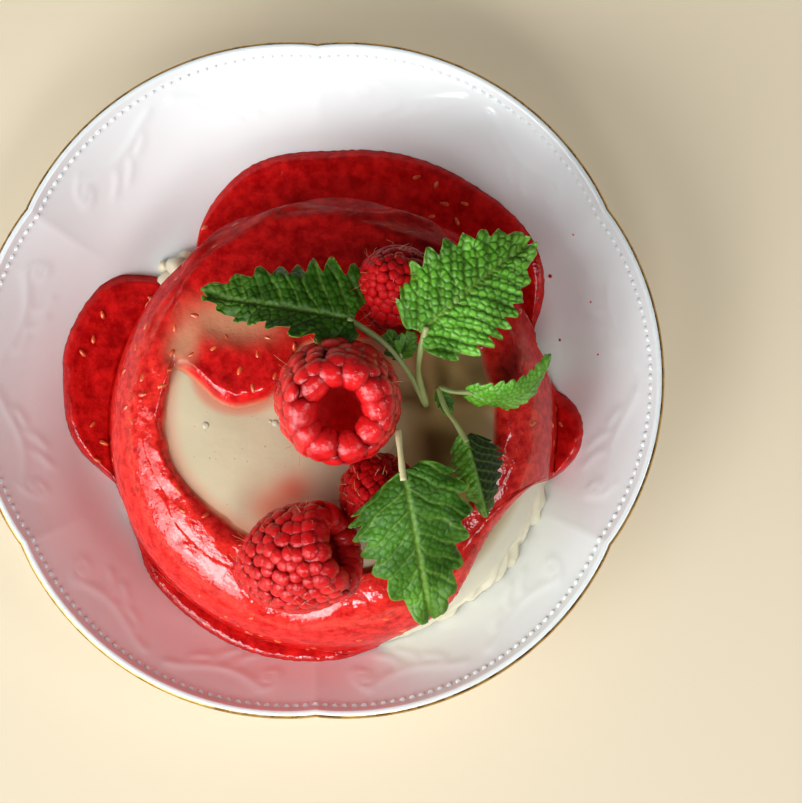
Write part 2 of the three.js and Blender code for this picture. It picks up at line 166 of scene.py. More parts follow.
# Between these two bands the ring is painted lighter red on its near side, as painted light.
RING_INNER_BAND = (30, 35)
RING_OUTER_BAND = (44, 50)
FOLDS = [39.6, 41.8, 43.6]
FOLD_HEIGHT = 0.75
FOLD_HALF = 0.7
TOP_LEVEL = 36
HIGH_BAND = (10, 28)
WIDE_EDGE_BAND = (10, 25)
BEHIND_BAND = (-5, 20)
FOOT_BAND = (PUDDING_RADIUS - 1.5, PUDDING_RADIUS + 2)
POOL_BAND = (PUDDING_RADIUS - 0.5, PUDDING_RADIUS + 4)
WALL_BAND = (0.45, 0.9)
STEEP_BAND = (0.55, 0.85)
THIN_BAND = (0.2, 1.8)
DRY_BAND = (30, 42)
DRY_WAY = [0.8, 0.6]

# Pink films on the cream: place, half axes, turn
FILMS = [((-17.5, 9.4), (9.8, 4.2), -0.12), ((-27.6, 4.4), (3.2, 4.6), -0.3)]

SEED_TRIES = 700
SEED_SPACING = 3.6
SEED_HALF = np.array([1.0, 0.46, 0.42])
SEED_SINK = 0.2
SEED_PATCH = 30
SAUCE_MIDDLE = [*PUDDING, 10]

# Drops of sauce on the dish: place and size
SPECKS = [(51.4, 24, 0.55), (53.5, 10, 0.4), (60, 17.5, 0.35), (56, 32, 0.3), (61.5, 6, 0.28)]

# Raspberries: the centre is in plan, and facing points from the tip to the open end. The last value is
# painted shade: it darkens the berries that lie in shadow.
Berry = namedtuple("Berry", "node centre facing radius length is_open drupelet_width brightness")
BERRIES = [
    Berry("raspberry_back", (17.2, 15.4), (0.3, -0.28, -0.91), 9.2, 19, False, 2.7, 0.48),
    Berry("raspberry_centre", (5.2, -7.6), (0.06, -0.35, 0.935), 12.7, 25, True, 3.8, 1),
    Berry("raspberry_front", (-4.4, -41.2), (0.87, 0.24, 0.43), 11.3, 24, True, 2.9, 0.82),
    Berry("raspberry_side", (13.3, -27.6), (0.1, 0.25, -0.96), 8.3, 17.5, False, 2.5, 0.42),
]
BERRY_LIP = 0.21
BERRY_WIDEST = 0.68
DRUPELET_BUMP = 1
CORE_INSET = 0.4
CORE_COLUMNS = 60
HOLLOW_END = 0.36
HAIR_SHARE = 0.3
HAIR_POINTS = 7
HAIR_RADII = (0.06, 0.025)
HAIR_LINE = np.array([[0.75, 0.5, 0.4], [0.8, 0.6, 1.4], [0.9, 0.9, 2.0]])

# Leaves: roll turns a blade about its midrib and fold bends its halves. Tone runs from dark to light green,
# partly each leaf's own green and partly painted light and shade, darker on leaves in shadow.
# Quilt is how high the blade bulges between its veins. Seen from the base, shade darkens its left half, lean
# makes its left half wider, and heel is how far its right and its left half reach back at the base.
Leaf = namedtuple(
    "Leaf",
    "base tip arch half_width roll fold teeth tooth widest tone quilt shade lean heel",
    defaults=(0, 0, (0.06, 0.06)),
)
LEAVES = {
    "left": Leaf(
        base=(8.8, 7.6, 58.2), tip=(-22.4, 14, 46.5), arch=(0, 0, 2.5), half_width=8.8, roll=22,
        fold=0.12, teeth=8, tooth=0.34, widest=0.19, tone=0.12, quilt=1.1, lean=-0.2,
    ),
    "right": Leaf(
        base=(22, 4.6, 61), tip=(44.2, 24, 54), arch=(0, 0, 3.2), half_width=11, roll=8,
        fold=-0.18, teeth=9, tooth=0.25, widest=0.34, tone=0.8, quilt=1.15,
    ),
    "bud_left": Leaf(
        base=(18.4, 0.6, 53.8), tip=(15.2, 5.4, 56), arch=(0, 0, 0.6), half_width=2.4, roll=0,
        fold=0.3, teeth=4, tooth=0.4, widest=0.4, tone=0.1, quilt=1,
    ),
    "bud_right": Leaf(
        base=(18.2, 0.8, 53.8), tip=(20.6, 5.4, 56.6), arch=(0, 0, 0.6), half_width=2.2, roll=0,
        fold=0.3, teeth=4, tooth=0.4, widest=0.4, tone=0.5, quilt=1,
    ),
    "edge": Leaf(
        base=(32.5, -6.4, 49.4), tip=(49.4, 1.9, 47.5), arch=(1.5, -4.6, 1), half_width=4.8, roll=64,
        fold=-0.2, teeth=8, tooth=0.24, widest=0.34, tone=0.8, quilt=1,
    ),
    "folded": Leaf(
        base=(31.4, -15.4, 51.8), tip=(36, -32, 46.5), arch=(0, 0, 2.4), half_width=5.4, roll=-4,
        fold=-1.1, teeth=7, tooth=0.3, widest=0.34, tone=0.85, quilt=1.5, shade=1, lean=0.3,
    ),
    "tiny": Leaf(
        base=(26, -5.4, 47.6), tip=(28.4, -10.4, 46), arch=(0, 0, 0.8), half_width=1.8, roll=0,
        fold=0.15, teeth=3, tooth=0.3, widest=0.4, tone=0.7, quilt=1,
    ),
    "front": Leaf(
        base=(18.6, -23.2, 61.6), tip=(24.2, -52.5, 45.5), arch=(0, 0, 4.2), half_width=11.6, roll=-6,
        fold=-0.16, teeth=7, tooth=0.24, widest=0.27, tone=0.3, quilt=0.6, shade=0.3, heel=(-0.14, 0.05),
    ),
}
LEAF_THICKNESS = 0.45
USUAL_HALF_WIDTH = 10
CELL = 1.8
CELL_ASPECT = 0.8
VEIN_SLANT = 0.8
HEEL_BAND = (0, 0.35)
# The margin is painted pale across this band, as light shining through the thin edge.
PAINTED_EDGE_LIGHT_BAND = (0.96, 1)

# Sprigs: node, leaves, seed of the first leaf, and stems as (knots, radius, paleness)
MEETING = (23.4, -8.4, 45.5)
SIDE_START = (25.8, -5, 47.5)
SPRIGS = [
    ("sprig_upper", ("left", "right", "bud_left", "bud_right"), 40, [
        ([(7.4, 7.9, 58.4), (14.9, 2.9, 56.5), (20.2, -3, 51.5), MEETING], 0.65, 0.25),
        ([(23.4, 5.8, 61.8), (22, 0.5, 58.5), (21.8, -3, 52.5), MEETING], 0.65, 0.25),
        ([(18, 1.4, 54.4), (18.8, -0.6, 53), (20.6, -3.6, 50.8)], 0.45, 0.25),
    ]),
    ("sprig_side", ("edge", "folded", "tiny"), 160, [
        ([SIDE_START, (29.5, -6, 48.2), (34.4, -6.2, 49.6)], 0.55, 0.25),
        ([SIDE_START, (27.4, -9.5, 49), (29.6, -13, 51), (31.7, -16.8, 52)], 0.55, 0.25),
    ]),
    ("leaf_front", ("front",), 280, [
        ([(17.6, -15, 58.6), (18, -19, 60.4), (18.7, -25.4, 61.8)], 0.65, 1.0),
    ]),
]
STEM_POINTS = 30

# Lights: name, azimuth and elevation in degrees, distance and size in metres, power in watts
LIGHTS = [
    ("window", 224, 32, 1.25, (1.0, 1.05), 17),
    ("window_core", 227, 38, 1.2, (0.5, 0.42), 4),
    ("front", 276, 48, 1.2, (0.28, 0.28), 4),
    ("side", 188, 28, 1.1, (0.3, 0.5), 1.2),
    ("right", 342, 54, 1.1, (0.3, 0.35), 2.1),
]
LIGHT_AIM = (0, 0, 0.03)
LIGHT_COLOUR = (0.94, 0.985, 1.0)
FLOOR_REACH = 4

# Camera, from the photograph's view
CAMERA_AIM = (18.2, -5.5, 24.5)
CAMERA_TILT = math.radians(6)
CAMERA_DISTANCE = 600
CAMERA_LENS = 125
CAMERA_SENSOR = 36
CAMERA_CLIP = 20

# Sockets of Blender's mix node when it mixes colours
MIX_INPUTS = (6, 7)
MIX_OUTPUT = 2
USUAL_STOPS = (0.3, 0.7)


def smooth_step(low, high, value):
    part = np.clip((value - low) / (high - low), 0, 1)
    return part * part * (3 - 2 * part)


def unit(vectors):
    vectors = np.asarray(vectors, float)
    return vectors / np.maximum(np.linalg.norm(vectors, axis=-1, keepdims=True), 1e-9)


def waves(points, length, seed, count=28):
    """Smooth random field of about unit size, with the given wavelength, from a sum of plane waves."""
    chance = np.random.default_rng(seed)
    directions = unit(chance.normal(size=(count, 3))) * (TURN / length) * chance.uniform(0.6, 1.4, (count, 1))
    phases = chance.uniform(0, TURN, count)
    return np.cos(points @ directions.T + phases).sum(-1) * math.sqrt(2 / count)


def circle(count):
    """Angles spread evenly round a turn."""
    return np.arange(count) * TURN / count


def turned(radius, angle, height):
    """Points at a radius, an angle and a height about the Z axis."""
    return np.stack(np.broadcast_arrays(radius * np.cos(angle), radius * np.sin(angle), height), -1)


def travel_along(line):
    """Distance from a line's first point to each of its points, along the line."""
    return np.concatenate([[0], np.cumsum(np.hypot(*np.diff(line, axis=0).T))])


class Builder:
    """Gathers meshes into one object, with a material slot and named values for each part."""

    def __init__(self):
        self.points = []
        self.faces = []
        self.slots = []
        self.values = {}
        self.size = 0

    def add(self, points, faces, slot=0, **values):
        points = np.asarray(points, float).reshape(-1, 3)
        for name in sorted({*self.values, *values}):
            held = self.values.setdefault(name, np.zeros(self.size))
            fresh = np.broadcast_to(np.asarray(values.get(name, 0.0), float), (len(points),))
            self.values[name] = np.concatenate([held, fresh])
        self.faces += [[index + self.size for index in face] for face in faces]
        self.slots += [slot] * len(faces)
        self.points.append(points)
        self.size += len(points)

    def build(self, name, materials, node=None):
        mesh = bpy.data.meshes.new(name)
        mesh.from_pydata((np.concatenate(self.points) * MM).tolist(), [], self.faces, shade_flat=False)
        for material in materials:
            mesh.materials.append(material)
        mesh.polygons.foreach_set("material_index", self.slots)
        for key, value in self.values.items():
            layer = mesh.attributes.new(key, "FLOAT", "POINT")
            layer.data.foreach_set("value", value)
        mesh.update()
        piece = bpy.data.objects.new(name, mesh)
        bpy.context.scene.collection.objects.link(piece)
        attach(piece, "root")
        if node:
            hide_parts(node)


def ring_faces(rows, columns, capped=True):
    """Faces between closed rows of points, with flat caps on the first and last row."""
    row, column = np.meshgrid(np.arange(rows - 1), np.arange(columns), indexing="ij")
    after = (column + 1) % columns
    quads = np.stack([
        row * columns + column,
        row * columns + after,
        (row + 1) * columns + after,
        (row + 1) * columns + column,
    ], -1).reshape(-1, 4).tolist()
    if capped:
        quads.append(list(range(columns))[::-1])
        quads.append(list(range((rows - 1) * columns, rows * columns)))
    return quads


def blob_shape(rows, columns):
    """Points and faces of a unit ball, with tiny flat caps at its poles."""
    lift = np.linspace(-math.pi / 2, math.pi / 2, rows + 1)
    lift[0] += 0.02
    lift[-1] -= 0.02
    points = turned(np.cos(lift)[:, None], circle(columns), np.sin(lift)[:, None])
    return points.reshape(-1, 3), ring_faces(rows + 1, columns)


def side_axes(normals, hint):
    """Two directions at right angles to each normal, the first along the hint."""
    first = unit(hint - (hint * normals).sum(-1, keepdims=True) * normals)
    return first, np.cross(normals, first)


def tube(points, radius, sides):
    """A round tube along points, with a radius for each."""
    along = unit(np.gradient(points, axis=0))
    first, second = side_axes(along, np.broadcast_to([0.31, 0.17, 0.93], along.shape))
    turn = circle(sides)[None, :, None]
    rings = np.cos(turn) * first[:, None] + np.sin(turn) * second[:, None]
    return (points[:, None] + radius[:, None, None] * rings).reshape(-1, 3), ring_faces(len(points), sides)


def curve_points(knots, count):
    """Points along a smooth curve through the knots."""
    knots = np.asarray(knots, float)
    padded = np.vstack([2 * knots[0] - knots[1], knots, 2 * knots[-1] - knots[-2]])
    place = np.linspace(0, len(knots) - 1 - 1e-6, count)
    index = place.astype(int)
    part = (place - index)[:, None]
    before, start, end, after = (padded[index + step] for step in range(4))
    return 0.5 * (
        2 * start
        + (end - before) * part
        + (2 * before - 5 * start + 4 * end - after) * part ** 2
        + (3 * start - before - 3 * end + after) * part ** 3
    )


# Materials


class Paint:
    """Makes procedural patterns in a node tree and feeds them to one of its nodes."""

    def __init__(self, tree, target):
        self.tree = tree
        self.target = tree.nodes[target]

    def feed(self, socket, value):
        self.tree.links.new(value, self.target.inputs[socket])

    def attribute(self, name):
        node = self.tree.nodes.new("ShaderNodeAttribute")
        node.attribute_name = name
        return node.outputs["Fac"]

    def noise(self, scale, detail=2.0, roughness=0.5):
        place = self.tree.nodes.new("ShaderNodeTexCoord")
        node = self.tree.nodes.new("ShaderNodeTexNoise")
        node.inputs["Scale"].default_value = scale
        node.inputs["Detail"].default_value = detail
        node.inputs["Roughness"].default_value = roughness
        self.tree.links.new(place.outputs["Object"], node.inputs["Vector"])
        return node.outputs["Fac"]

    def ramp(self, value, low, high, stops=USUAL_STOPS):
        """Colours over a value, from low at the first stop to high at the second."""
        node = self.tree.nodes.new("ShaderNodeValToRGB")
        for element, place, colour in zip(node.color_ramp.elements, stops, (low, high)):
            element.position = place
            element.color = (*colour, 1)
        self.tree.links.new(value, node.inputs["Fac"])
        return node.outputs["Color"]

    def mottle(self, pattern, *colours):
        """Colours over noise; the pattern is (scale, detail, roughness), the last two if needed."""
        return self.ramp(self.noise(*pattern), *colours)

    def mix(self, name, first, second):
        """Blend of two colours, each a link or a constant, by a named value of the mesh."""
        return self.blend(self.attribute(name), first, second)

    def blend(self, factor, first, second):
        node = self.tree.nodes.new("ShaderNodeMix")
        node.data_type = "RGBA"
        self.tree.links.new(factor, node.inputs["Factor"])
        for index, colour in zip(MIX_INPUTS, (first, second)):
            if isinstance(colour, tuple):
                node.inputs[index].default_value = (*colour, 1)
            else:
                self.tree.links.new(colour, node.inputs[index])
        return node.outputs[MIX_OUTPUT]

    def bump(self, pattern, strength, distance):
        node = self.tree.nodes.new("ShaderNodeBump")
        node.inputs["Strength"].default_value = strength
        node.inputs["Distance"].default_value = distance
        self.tree.links.new(self.noise(*pattern), node.inputs["Height"])
        self.feed("Normal", node.outputs["Normal"])
        self.feed("Coat Normal", node.outputs["Normal"])


def new_material(name, values):
    material = bpy.data.materials.new(name)
    material.use_nodes = True
    paint = Paint(material.node_tree, "Principled BSDF")
    for key, value in values.items():
        paint.target.inputs[key].default_value = value
    return material, paint


def porcelain_material():
    material, paint = new_material("porcelain", {
        "Roughness": 0.13,
        "IOR": 1.52,
        "Coat Weight": 0.4,
        "Coat Roughness": 0.04,
    })
    paint.feed("Base Color", paint.mottle((45, 3), (0.865, 0.885, 0.875), (0.89, 0.91, 0.9)))
    paint.bump((160, 2), 0.05, 0.0006)
    return material


def gold_material():
    material, paint = new_material("gold_line", {"Metallic": 1.0})
    worn = paint.noise(300, 3)
    paint.feed("Base Color", paint.ramp(worn, (0.42, 0.24, 0.07), (0.72, 0.48, 0.17), (0.35, 0.65)))
    paint.feed("Roughness", paint.ramp(worn, (0.2, 0.2, 0.2), (0.38, 0.38, 0.38)))
    return material


def cream_material():
    material, paint = new_material("cream", {
        "Roughness": 0.3,
        "IOR": 1.4,
        "Subsurface Weight": 0.3,
        "Subsurface Radius": (1.0, 0.6, 0.3),
        "Subsurface Scale": 0.003,
        "Coat Weight": 0.2,
        "Coat Roughness": 0.15,
    })
    base = paint.mottle((60, 3), (0.62, 0.52, 0.34), (0.66, 0.56, 0.375))
    specks = paint.mottle((1900, 0), (0, 0, 0), (1, 1, 1), (0.83, 0.85))
    speckled = paint.blend(specks, base, (0.25, 0.14, 0.06))
    # Painted light: the sides and the crumbs paler, as if lit.
    painted_lit_sides = paint.mix("side", speckled, (0.84, 0.77, 0.58))
    # Painted shade: the right part of the top browner, where the berries and leaves shade it.
    with_painted_shade = paint.mix("brown", painted_lit_sides, (0.42, 0.26, 0.09))
    # Red spots beside the berries are painted reflection of them; the red by the sauce is juice stain.
    paint.feed("Base Color", paint.mix("stain", with_painted_shade, (0.72, 0.13, 0.07)))
    paint.bump((500, 4, 0.6), 0.1, 0.0006)
    return material


def sauce_material():
    material, paint = new_material("raspberry_sauce", {
        "Specular IOR Level": 0.0,
        "Coat IOR": 1.6,
        "Coat Roughness": 0.09,
        "Subsurface Weight": 0.1,
        "Subsurface Radius": (1.0, 0.08, 0.06),
        "Subsurface Scale": 0.003,
    })
    pulp = paint.mottle((330, 6, 0.68), (0.4, 0.002, 0.003), (0.76, 0.013, 0.012), (0.37, 0.63))
    grain = paint.mottle((500, 5, 0.68), (0.47, 0.006, 0.006), (0.9, 0.036, 0.025), (0.37, 0.61))
    # Lighter red where the sauce is thin, and on the near ring as painted light.
    thinned_and_lit = paint.mix("thin", pulp, grain)
    paint.feed("Base Color", paint.mix("film", thinned_and_lit, (0.62, 0.24, 0.13)))
    paint.feed("Roughness", paint.mottle((240, 3), (0.05, 0.05, 0.05), (0.13, 0.13, 0.13), (0.35, 0.65)))
    paint.feed("Coat Weight", paint.attribute("gloss"))
    paint.bump((640, 2, 0.6), 0.2, 0.001)
    return material


def seed_material():
    material, paint = new_material("seed", {"Roughness": 0.15, "Coat Weight": 0.5, "Coat Roughness": 0.05})
    paint.feed("Base Color", paint.mottle((500, 2), (0.62, 0.05, 0.018), (0.83, 0.17, 0.05)))
    return material


def berry_material():
    material, paint = new_material("raspberry_flesh", {
        "Roughness": 0.3,
        "Specular IOR Level": 0.06,
        "Subsurface Weight": 0.3,
        "Subsurface Radius": (1.0, 0.1, 0.08),
        "Subsurface Scale": 0.0025,
        "Coat Roughness": 0.11,
    })
    flesh = paint.mottle((200, 2), (0.6, 0.006, 0.008), (0.82, 0.016, 0.018))
    # Painted shade: dark red in the creases between drupelets, and darker on berries in shadow.
    paint.feed("Base Color", paint.mix("crown", (0.22, 0.001, 0.002), flesh))
    paint.feed("Coat Weight", paint.attribute("gloss"))
    paint.bump((900, 3, 0.6), 0.45, 0.0005)
    return material


def core_material():
    material, paint = new_material("raspberry_core", {
        "Roughness": 0.5,
        "Subsurface Weight": 0.3,
        "Subsurface Scale": 0.002,
    })
    paint.feed("Base Color", paint.mottle((350, 3), (0.6, 0.01, 0.01), (0.85, 0.04, 0.04)))
    paint.bump((500, 3), 0.3, 0.0008)
    return material


def hair_material():
    material, paint = new_material("berry_hair", {"Roughness": 0.4})
    paint.feed("Base Color", paint.mottle((400,), (0.5, 0.1, 0.03), (0.8, 0.42, 0.18)))
    return material


def leaf_material():
    material, paint = new_material("balm_leaf", {
        "Roughness": 0.36,
        "Specular IOR Level": 0.1,
        "Coat IOR": 1.4,
        "Coat Roughness": 0.26,
        "Subsurface Weight": 0.12,
        "Subsurface Radius": (0.4, 1.0, 0.1),
        "Subsurface Scale": 0.0015,
    })
    grain = paint.noise(420, 4, 0.6)
    dark = paint.ramp(grain, (0.005, 0.018, 0.0005), (0.014, 0.045, 0.002))
    light = paint.ramp(grain, (0.125, 0.42, 0.024), (0.23, 0.62, 0.055))
    # Tone is partly each leaf's own green and partly painted light and shade.
    blade = paint.mix("tone", dark, light)
    # Painted shade: dark green in the creases between the bulges.
    crease_shade = paint.mix("tone", (0.005, 0.02, 0.001), (0.035, 0.14, 0.004))
    with_crease_shade = paint.mix("dome", crease_shade, blade)
    # Pale veins, and a pale margin painted as light shining through the edge.
    paint.feed("Base Color", paint.mix("vein", with_crease_shade, (0.2, 0.36, 0.05)))
    paint.feed("Coat Weight", paint.attribute("tone"))
    paint.bump((1400, 3, 0.6), 0.3, 0.0005)
    return material


def stem_material():
    material, paint = new_material("balm_stem", {
        "Roughness": 0.45,
        "Subsurface Weight": 0.1,
        "Subsurface Scale": 0.001,
    })
    green = paint.mottle((160, 3), (0.14, 0.25, 0.035), (0.3, 0.36, 0.1), (0.35, 0.7))
    paint.feed("Base Color", paint.mix("tone", green, (0.62, 0.56, 0.3)))
    paint.bump((900, 2), 0.2, 0.0004)
    return material


def floor_material():
    material, paint = new_material("floor", {"Roughness": 0.7, "Emission Strength": 0.44})
    tint = paint.mottle((3,), (0.55, 0.465, 0.335), (0.57, 0.48, 0.35))
    paint.feed("Base Color", tint)
    paint.feed("Emission Color", tint)
    return material


# Dish


def wall_height(radius):
    part = np.maximum(0, (radius - WALL_START) / (WALL_LEVEL - WALL_START))
    return FLOOR_Z + WALL_RISE * (1 - np.cos(np.pi * part)) / 2


def lobe_draw(radius, angle):
    """How far the lobes draw the dish in."""
    notch = 1 - np.abs(np.cos(LOBES / 2 * angle)) ** LOBE_SHARPNESS
    return LOBE_DEPTH * notch * smooth_step(LOBE_START, RIM_RADIUS, radius)


def dish_height(x, y):
    """Height of the dish's inner face; a few rounds find the radius before the lobes drew it in."""
    radius = np.hypot(x, y)
    angle = np.arctan2(y, x)
    profile = radius
    for _ in range(4):
        profile = radius + lobe_draw(profile, angle)
    return wall_height(profile)


def scroll_strokes():
    """Points of the relief's lines in one half lobe: along the rim, and inwards from the bead row."""
    sweep = np.linspace(0, 1, SCROLL_POINTS)
    arch = SCROLL_ARCH * np.sin(sweep * math.pi * 0.9) ** 1.3
    stem = np.stack([SCROLL_START + SCROLL_LENGTH * sweep, SCROLL_INSET + arch], -1)
    turn = np.linspace(0, CURL_TURN, 50)
    radius = CURL_RADIUS * np.exp(-CURL_DECAY * turn)
    curl_start = SCROLL_START + SCROLL_LENGTH
    curl = np.stack([curl_start + radius * np.sin(turn), CURL_INSET - radius * np.cos(turn)], -1)
    strokes = [stem, curl]
    rise = np.linspace(0, 1, 14)[:, None]
    for start, reach in SCROLL_LEAVES:
        foot = stem[int(start * (SCROLL_POINTS - 1))]
        strokes.append(foot + rise * [2.6, reach] + np.sin(rise * math.pi) * [-1.1, 0.4])
    return np.concatenate(strokes)


def rim_relief(radius, angle):
    """Height of the moulded scroll on the wall."""
    lobe = TURN / LOBES
    across = np.abs((angle + lobe / 2) % lobe - lobe / 2) * radius
    inward = BEAD_RADIUS - radius
    near = (inward > SCROLL_LIMITS[0]) & (inward < SCROLL_LIMITS[1])
    spot = np.stack([across[near], inward[near]], -1)
    nearest = np.full(len(spot), FAR)
    for point in scroll_strokes():
        nearest = np.minimum(nearest, ((spot - point) ** 2).sum(-1))
    relief = np.zeros(radius.shape)
    relief[near] = SCROLL_HEIGHT * np.exp(-nearest / SCROLL_WIDTH ** 2)
    return relief


def dish_profile():
    """Outline from under the middle, round the foot and the rim, to the middle of the floor.

    Also gives the number of its points before the lip, and on the lip.
    """
    lip_radius = RIM_RADIUS - RIM_ROUND
    rim_z = wall_height(RIM_RADIUS)
    foot = [
        (AXIS_RADIUS, UNDERSIDE_Z),
        (20, UNDERSIDE_Z),
        (FOOT_INNER - 1, UNDERSIDE_Z),
        (FOOT_INNER - 0.2, 0.25),
        (FOOT_INNER + 0.2, 0),
        (FOOT_OUTER - 0.3, 0),
        (FOOT_OUTER + 0.2, 0.3),
    ]
    under = np.linspace(OUTER_WALL_START, lip_radius, 24)
    thickness = np.linspace(WALL_THICKNESS, 2 * RIM_ROUND, 24)
    climb = (under - OUTER_WALL_START) / (under[-1] - OUTER_WALL_START)
    outer_z = wall_height(under) + (rim_z - wall_height(lip_radius)) * climb - thickness
    turn = np.linspace(*LIP_TURN, 22)[1:]
    lip_z = rim_z - RIM_ROUND + RIM_ROUND * np.sin(turn)
    lip = np.column_stack([lip_radius + RIM_ROUND * np.cos(turn), lip_z])
    spans = [(72.6, 58, 60), (57.4, WALL_START, 20), (42, AXIS_RADIUS, 10)]
    inner = np.concatenate([np.linspace(*span) for span in spans])
    lower = np.vstack([foot, np.column_stack([under, outer_z])])
    profile = np.vstack([lower, lip, np.column_stack([inner, wall_height(inner)])])
    return profile, len(lower), len(lip)


def make_dish(porcelain, gold):
    profile, lip_start, lip_count = dish_profile()
    inside = lip_start + lip_count
    angle = circle(DISH_COLUMNS)
    radius = profile[:, :1] - lobe_draw(profile[:, :1], angle)
    height = np.repeat(profile[:, 1:], DISH_COLUMNS, 1)
    inner_radius = np.repeat(profile[inside:, :1], DISH_COLUMNS, 1)
    height[inside:] += rim_relief(inner_radius, np.broadcast_to(angle, inner_radius.shape))
    dish = Builder()
    dish.add(turned(radius, angle, height), ring_faces(len(profile), DISH_COLUMNS))
    first, last = ((lip_start + row) * DISH_COLUMNS for row in GOLD_ROWS)
    dish.slots[first:last] = [1] * (last - first)
    dish.build("dish_glaze", [porcelain, gold], "dish")


def make_beads(porcelain):
    """Row of small beads just inside the rim."""
    angle = circle(BEAD_COUNT)
    radius = BEAD_RADIUS - lobe_draw(BEAD_RADIUS, angle)
    x = radius * np.cos(angle)
    y = radius * np.sin(angle)
    shape, faces = blob_shape(6, 10)
    beads = Builder()
    for place in zip(x, y, dish_height(x, y) - BEAD_SINK):
        beads.add(shape * BEAD_HALF + place, faces)
    beads.build("dish_beads", [porcelain])


# Pudding


def angle_from(centre, angle):
    return (angle - centre + np.pi) % TURN - np.pi


def around_pudding(radius, angle):
    """Plan of points about the pudding's axis."""
    return PUDDING[0] + radius * np.cos(angle), PUDDING[1] + radius * np.sin(angle)


def pudding_radius(angle, share):
    """Radius at a share of the pudding's height."""
    turn = angle_from(FOOT_LUMP_ANGLE, angle) / FOOT_LUMP_SPREAD
    lump = FOOT_LUMP * np.exp(-turn ** 2) * (1 + np.sin(FOOT_LUMP_COUNT * angle)) / 2
    rounding = (1 - share ** PUDDING_SIDE_POWER) ** (1 / PUDDING_PLAN_POWER)
    body = PUDDING_RADIUS * (1 - PUDDING_TAPER * share) * rounding
    return body + lump * (1 - smooth_step(*FOOT_LUMP_BAND, share))


def pudding_share(angle, radius):
    """Share of the pudding's height at which it has the radius."""
    low = np.zeros(np.broadcast(angle, radius).shape)
    high = np.ones(low.shape)
    for _ in range(32):
        middle = (low + high) / 2
        wider = pudding_radius(angle, middle) > radius
        low = np.where(wider, middle, low)
        high = np.where(wider, high, middle)
    return low


def foot_height(angle):
    return dish_height(*around_pudding(pudding_radius(angle, 0.0), angle)) + GAP


def support_height(x, y):
    """Height of the pudding's outer face, or of the dish beyond its foot."""
    angle = np.arctan2(y - PUDDING[1], x - PUDDING[0])
    radius = np.hypot(x - PUDDING[0], y - PUDDING[1])
    foot = foot_height(angle)
    body = foot + (PUDDING_TOP - foot) * pudding_share(angle, radius)
    return np.where(radius >= pudding_radius(angle, 0.0), dish_height(x, y), body)


def opening_inset(x, y):
    """Distance inwards from the rim of the opening in the sauce."""
    turn = angle_from(OPENING_NARROW, np.arctan2(y - PUDDING[1], x - PUDDING[0]))
    radius = OPENING_RADIUS - NARROWING * np.exp(-(turn / NARROW_SPREAD) ** 2)
    return radius - np.hypot(x - PUDDING[0], y - PUDDING[1])


def tongue_level(x, y):
    """Below 1 under the tongue of sauce on the cream, growing outwards."""
    level = np.abs((x - TONGUE[0]) / TONGUE_HALF[0]) ** TONGUE_POWER
    return level + np.abs((y - TONGUE[1]) / TONGUE_HALF[1]) ** TONGUE_POWER


def pudding_points(angle):
    """Rows of points from under the middle, up the side, to the middle of the top."""
    rows = []
    for part in np.linspace(0.01, 0.985, UNDER_ROWS):
        x, y = around_pudding(part * PUDDING_RADIUS, angle)
        rows.append(np.stack([x, y, dish_height(x, y) + GAP], -1))
    foot = foot_height(angle)
    start = pudding_radius(angle, SHOULDER)
    shares = [np.full(len(angle), share) for share in np.linspace(0, SHOULDER, SIDE_ROWS)]
    shares += [pudding_share(angle, start * part) for part in np.linspace(0.995, 0.003, TOP_ROWS)]
    for share in shares:
        x, y = around_pudding(pudding_radius(angle, share), angle)
        rows.append(np.stack([x, y, foot + (PUDDING_TOP - foot) * share], -1))
    return np.stack(rows)


def roughen(points, angle):
    """Makes the pudding slightly uneven, and broken low down on one side."""
    outward = unit(points - PUDDING_MIDDLE)
    side = smooth_step(FLOOR_Z, FLOOR_Z + 5, points[..., 2])
    broken = np.exp(-(angle_from(FOOT_LUMP_ANGLE, angle) / BROKEN_SPREAD) ** 2)
    broken = broken * (1 - smooth_step(*BROKEN_BAND, points[..., 2]))
    uneven = side * (0.06 * waves(points, 13, 4) + 0.02 * waves(points, 5, 5))
    points += outward * uneven[..., None]
    crags = broken * (0.55 * waves(points, 5, 6) + 0.25 * waves(points, 2.4, 7))
    points[UNDER_ROWS:] += (outward * crags[..., None])[UNDER_ROWS:]


def juice_stain_and_reflection(x, y):
    """How red the cream is painted: spots beside the berries as painted reflection, juice stain beside the
    sauce and round its tongue.
    """
    stain = np.zeros(x.shape)
    for spot_x, spot_y, reach in STAINS_AND_REFLECTIONS:
        stain += 0.7 * np.exp(-((x - spot_x) ** 2 + (y - spot_y) ** 2) / reach ** 2)
    stain += 0.5 * (1 - smooth_step(-1, 3.5, opening_inset(x, y))) * (x < 0)
    stain += 0.6 * (1 - smooth_step(1, 1.5, tongue_level(x, y)))
    return np.minimum(stain, 1)


def add_crumbs(pudding, shape, faces):
    for turn, reach, size in CRUMBS:
        x, y = around_pudding(reach, math.radians(turn))
        lump = shape * [size, 0.8 * size, 0.7 * size]
        lump += 0.12 * size * waves(lump, 2 * size, int(turn))[:, None] * shape
        # The crumbs are painted paler, as painted light.
        pudding.add(lump + [x, y, dish_height(x, y) + 0.6 * size], faces, side=0.6)


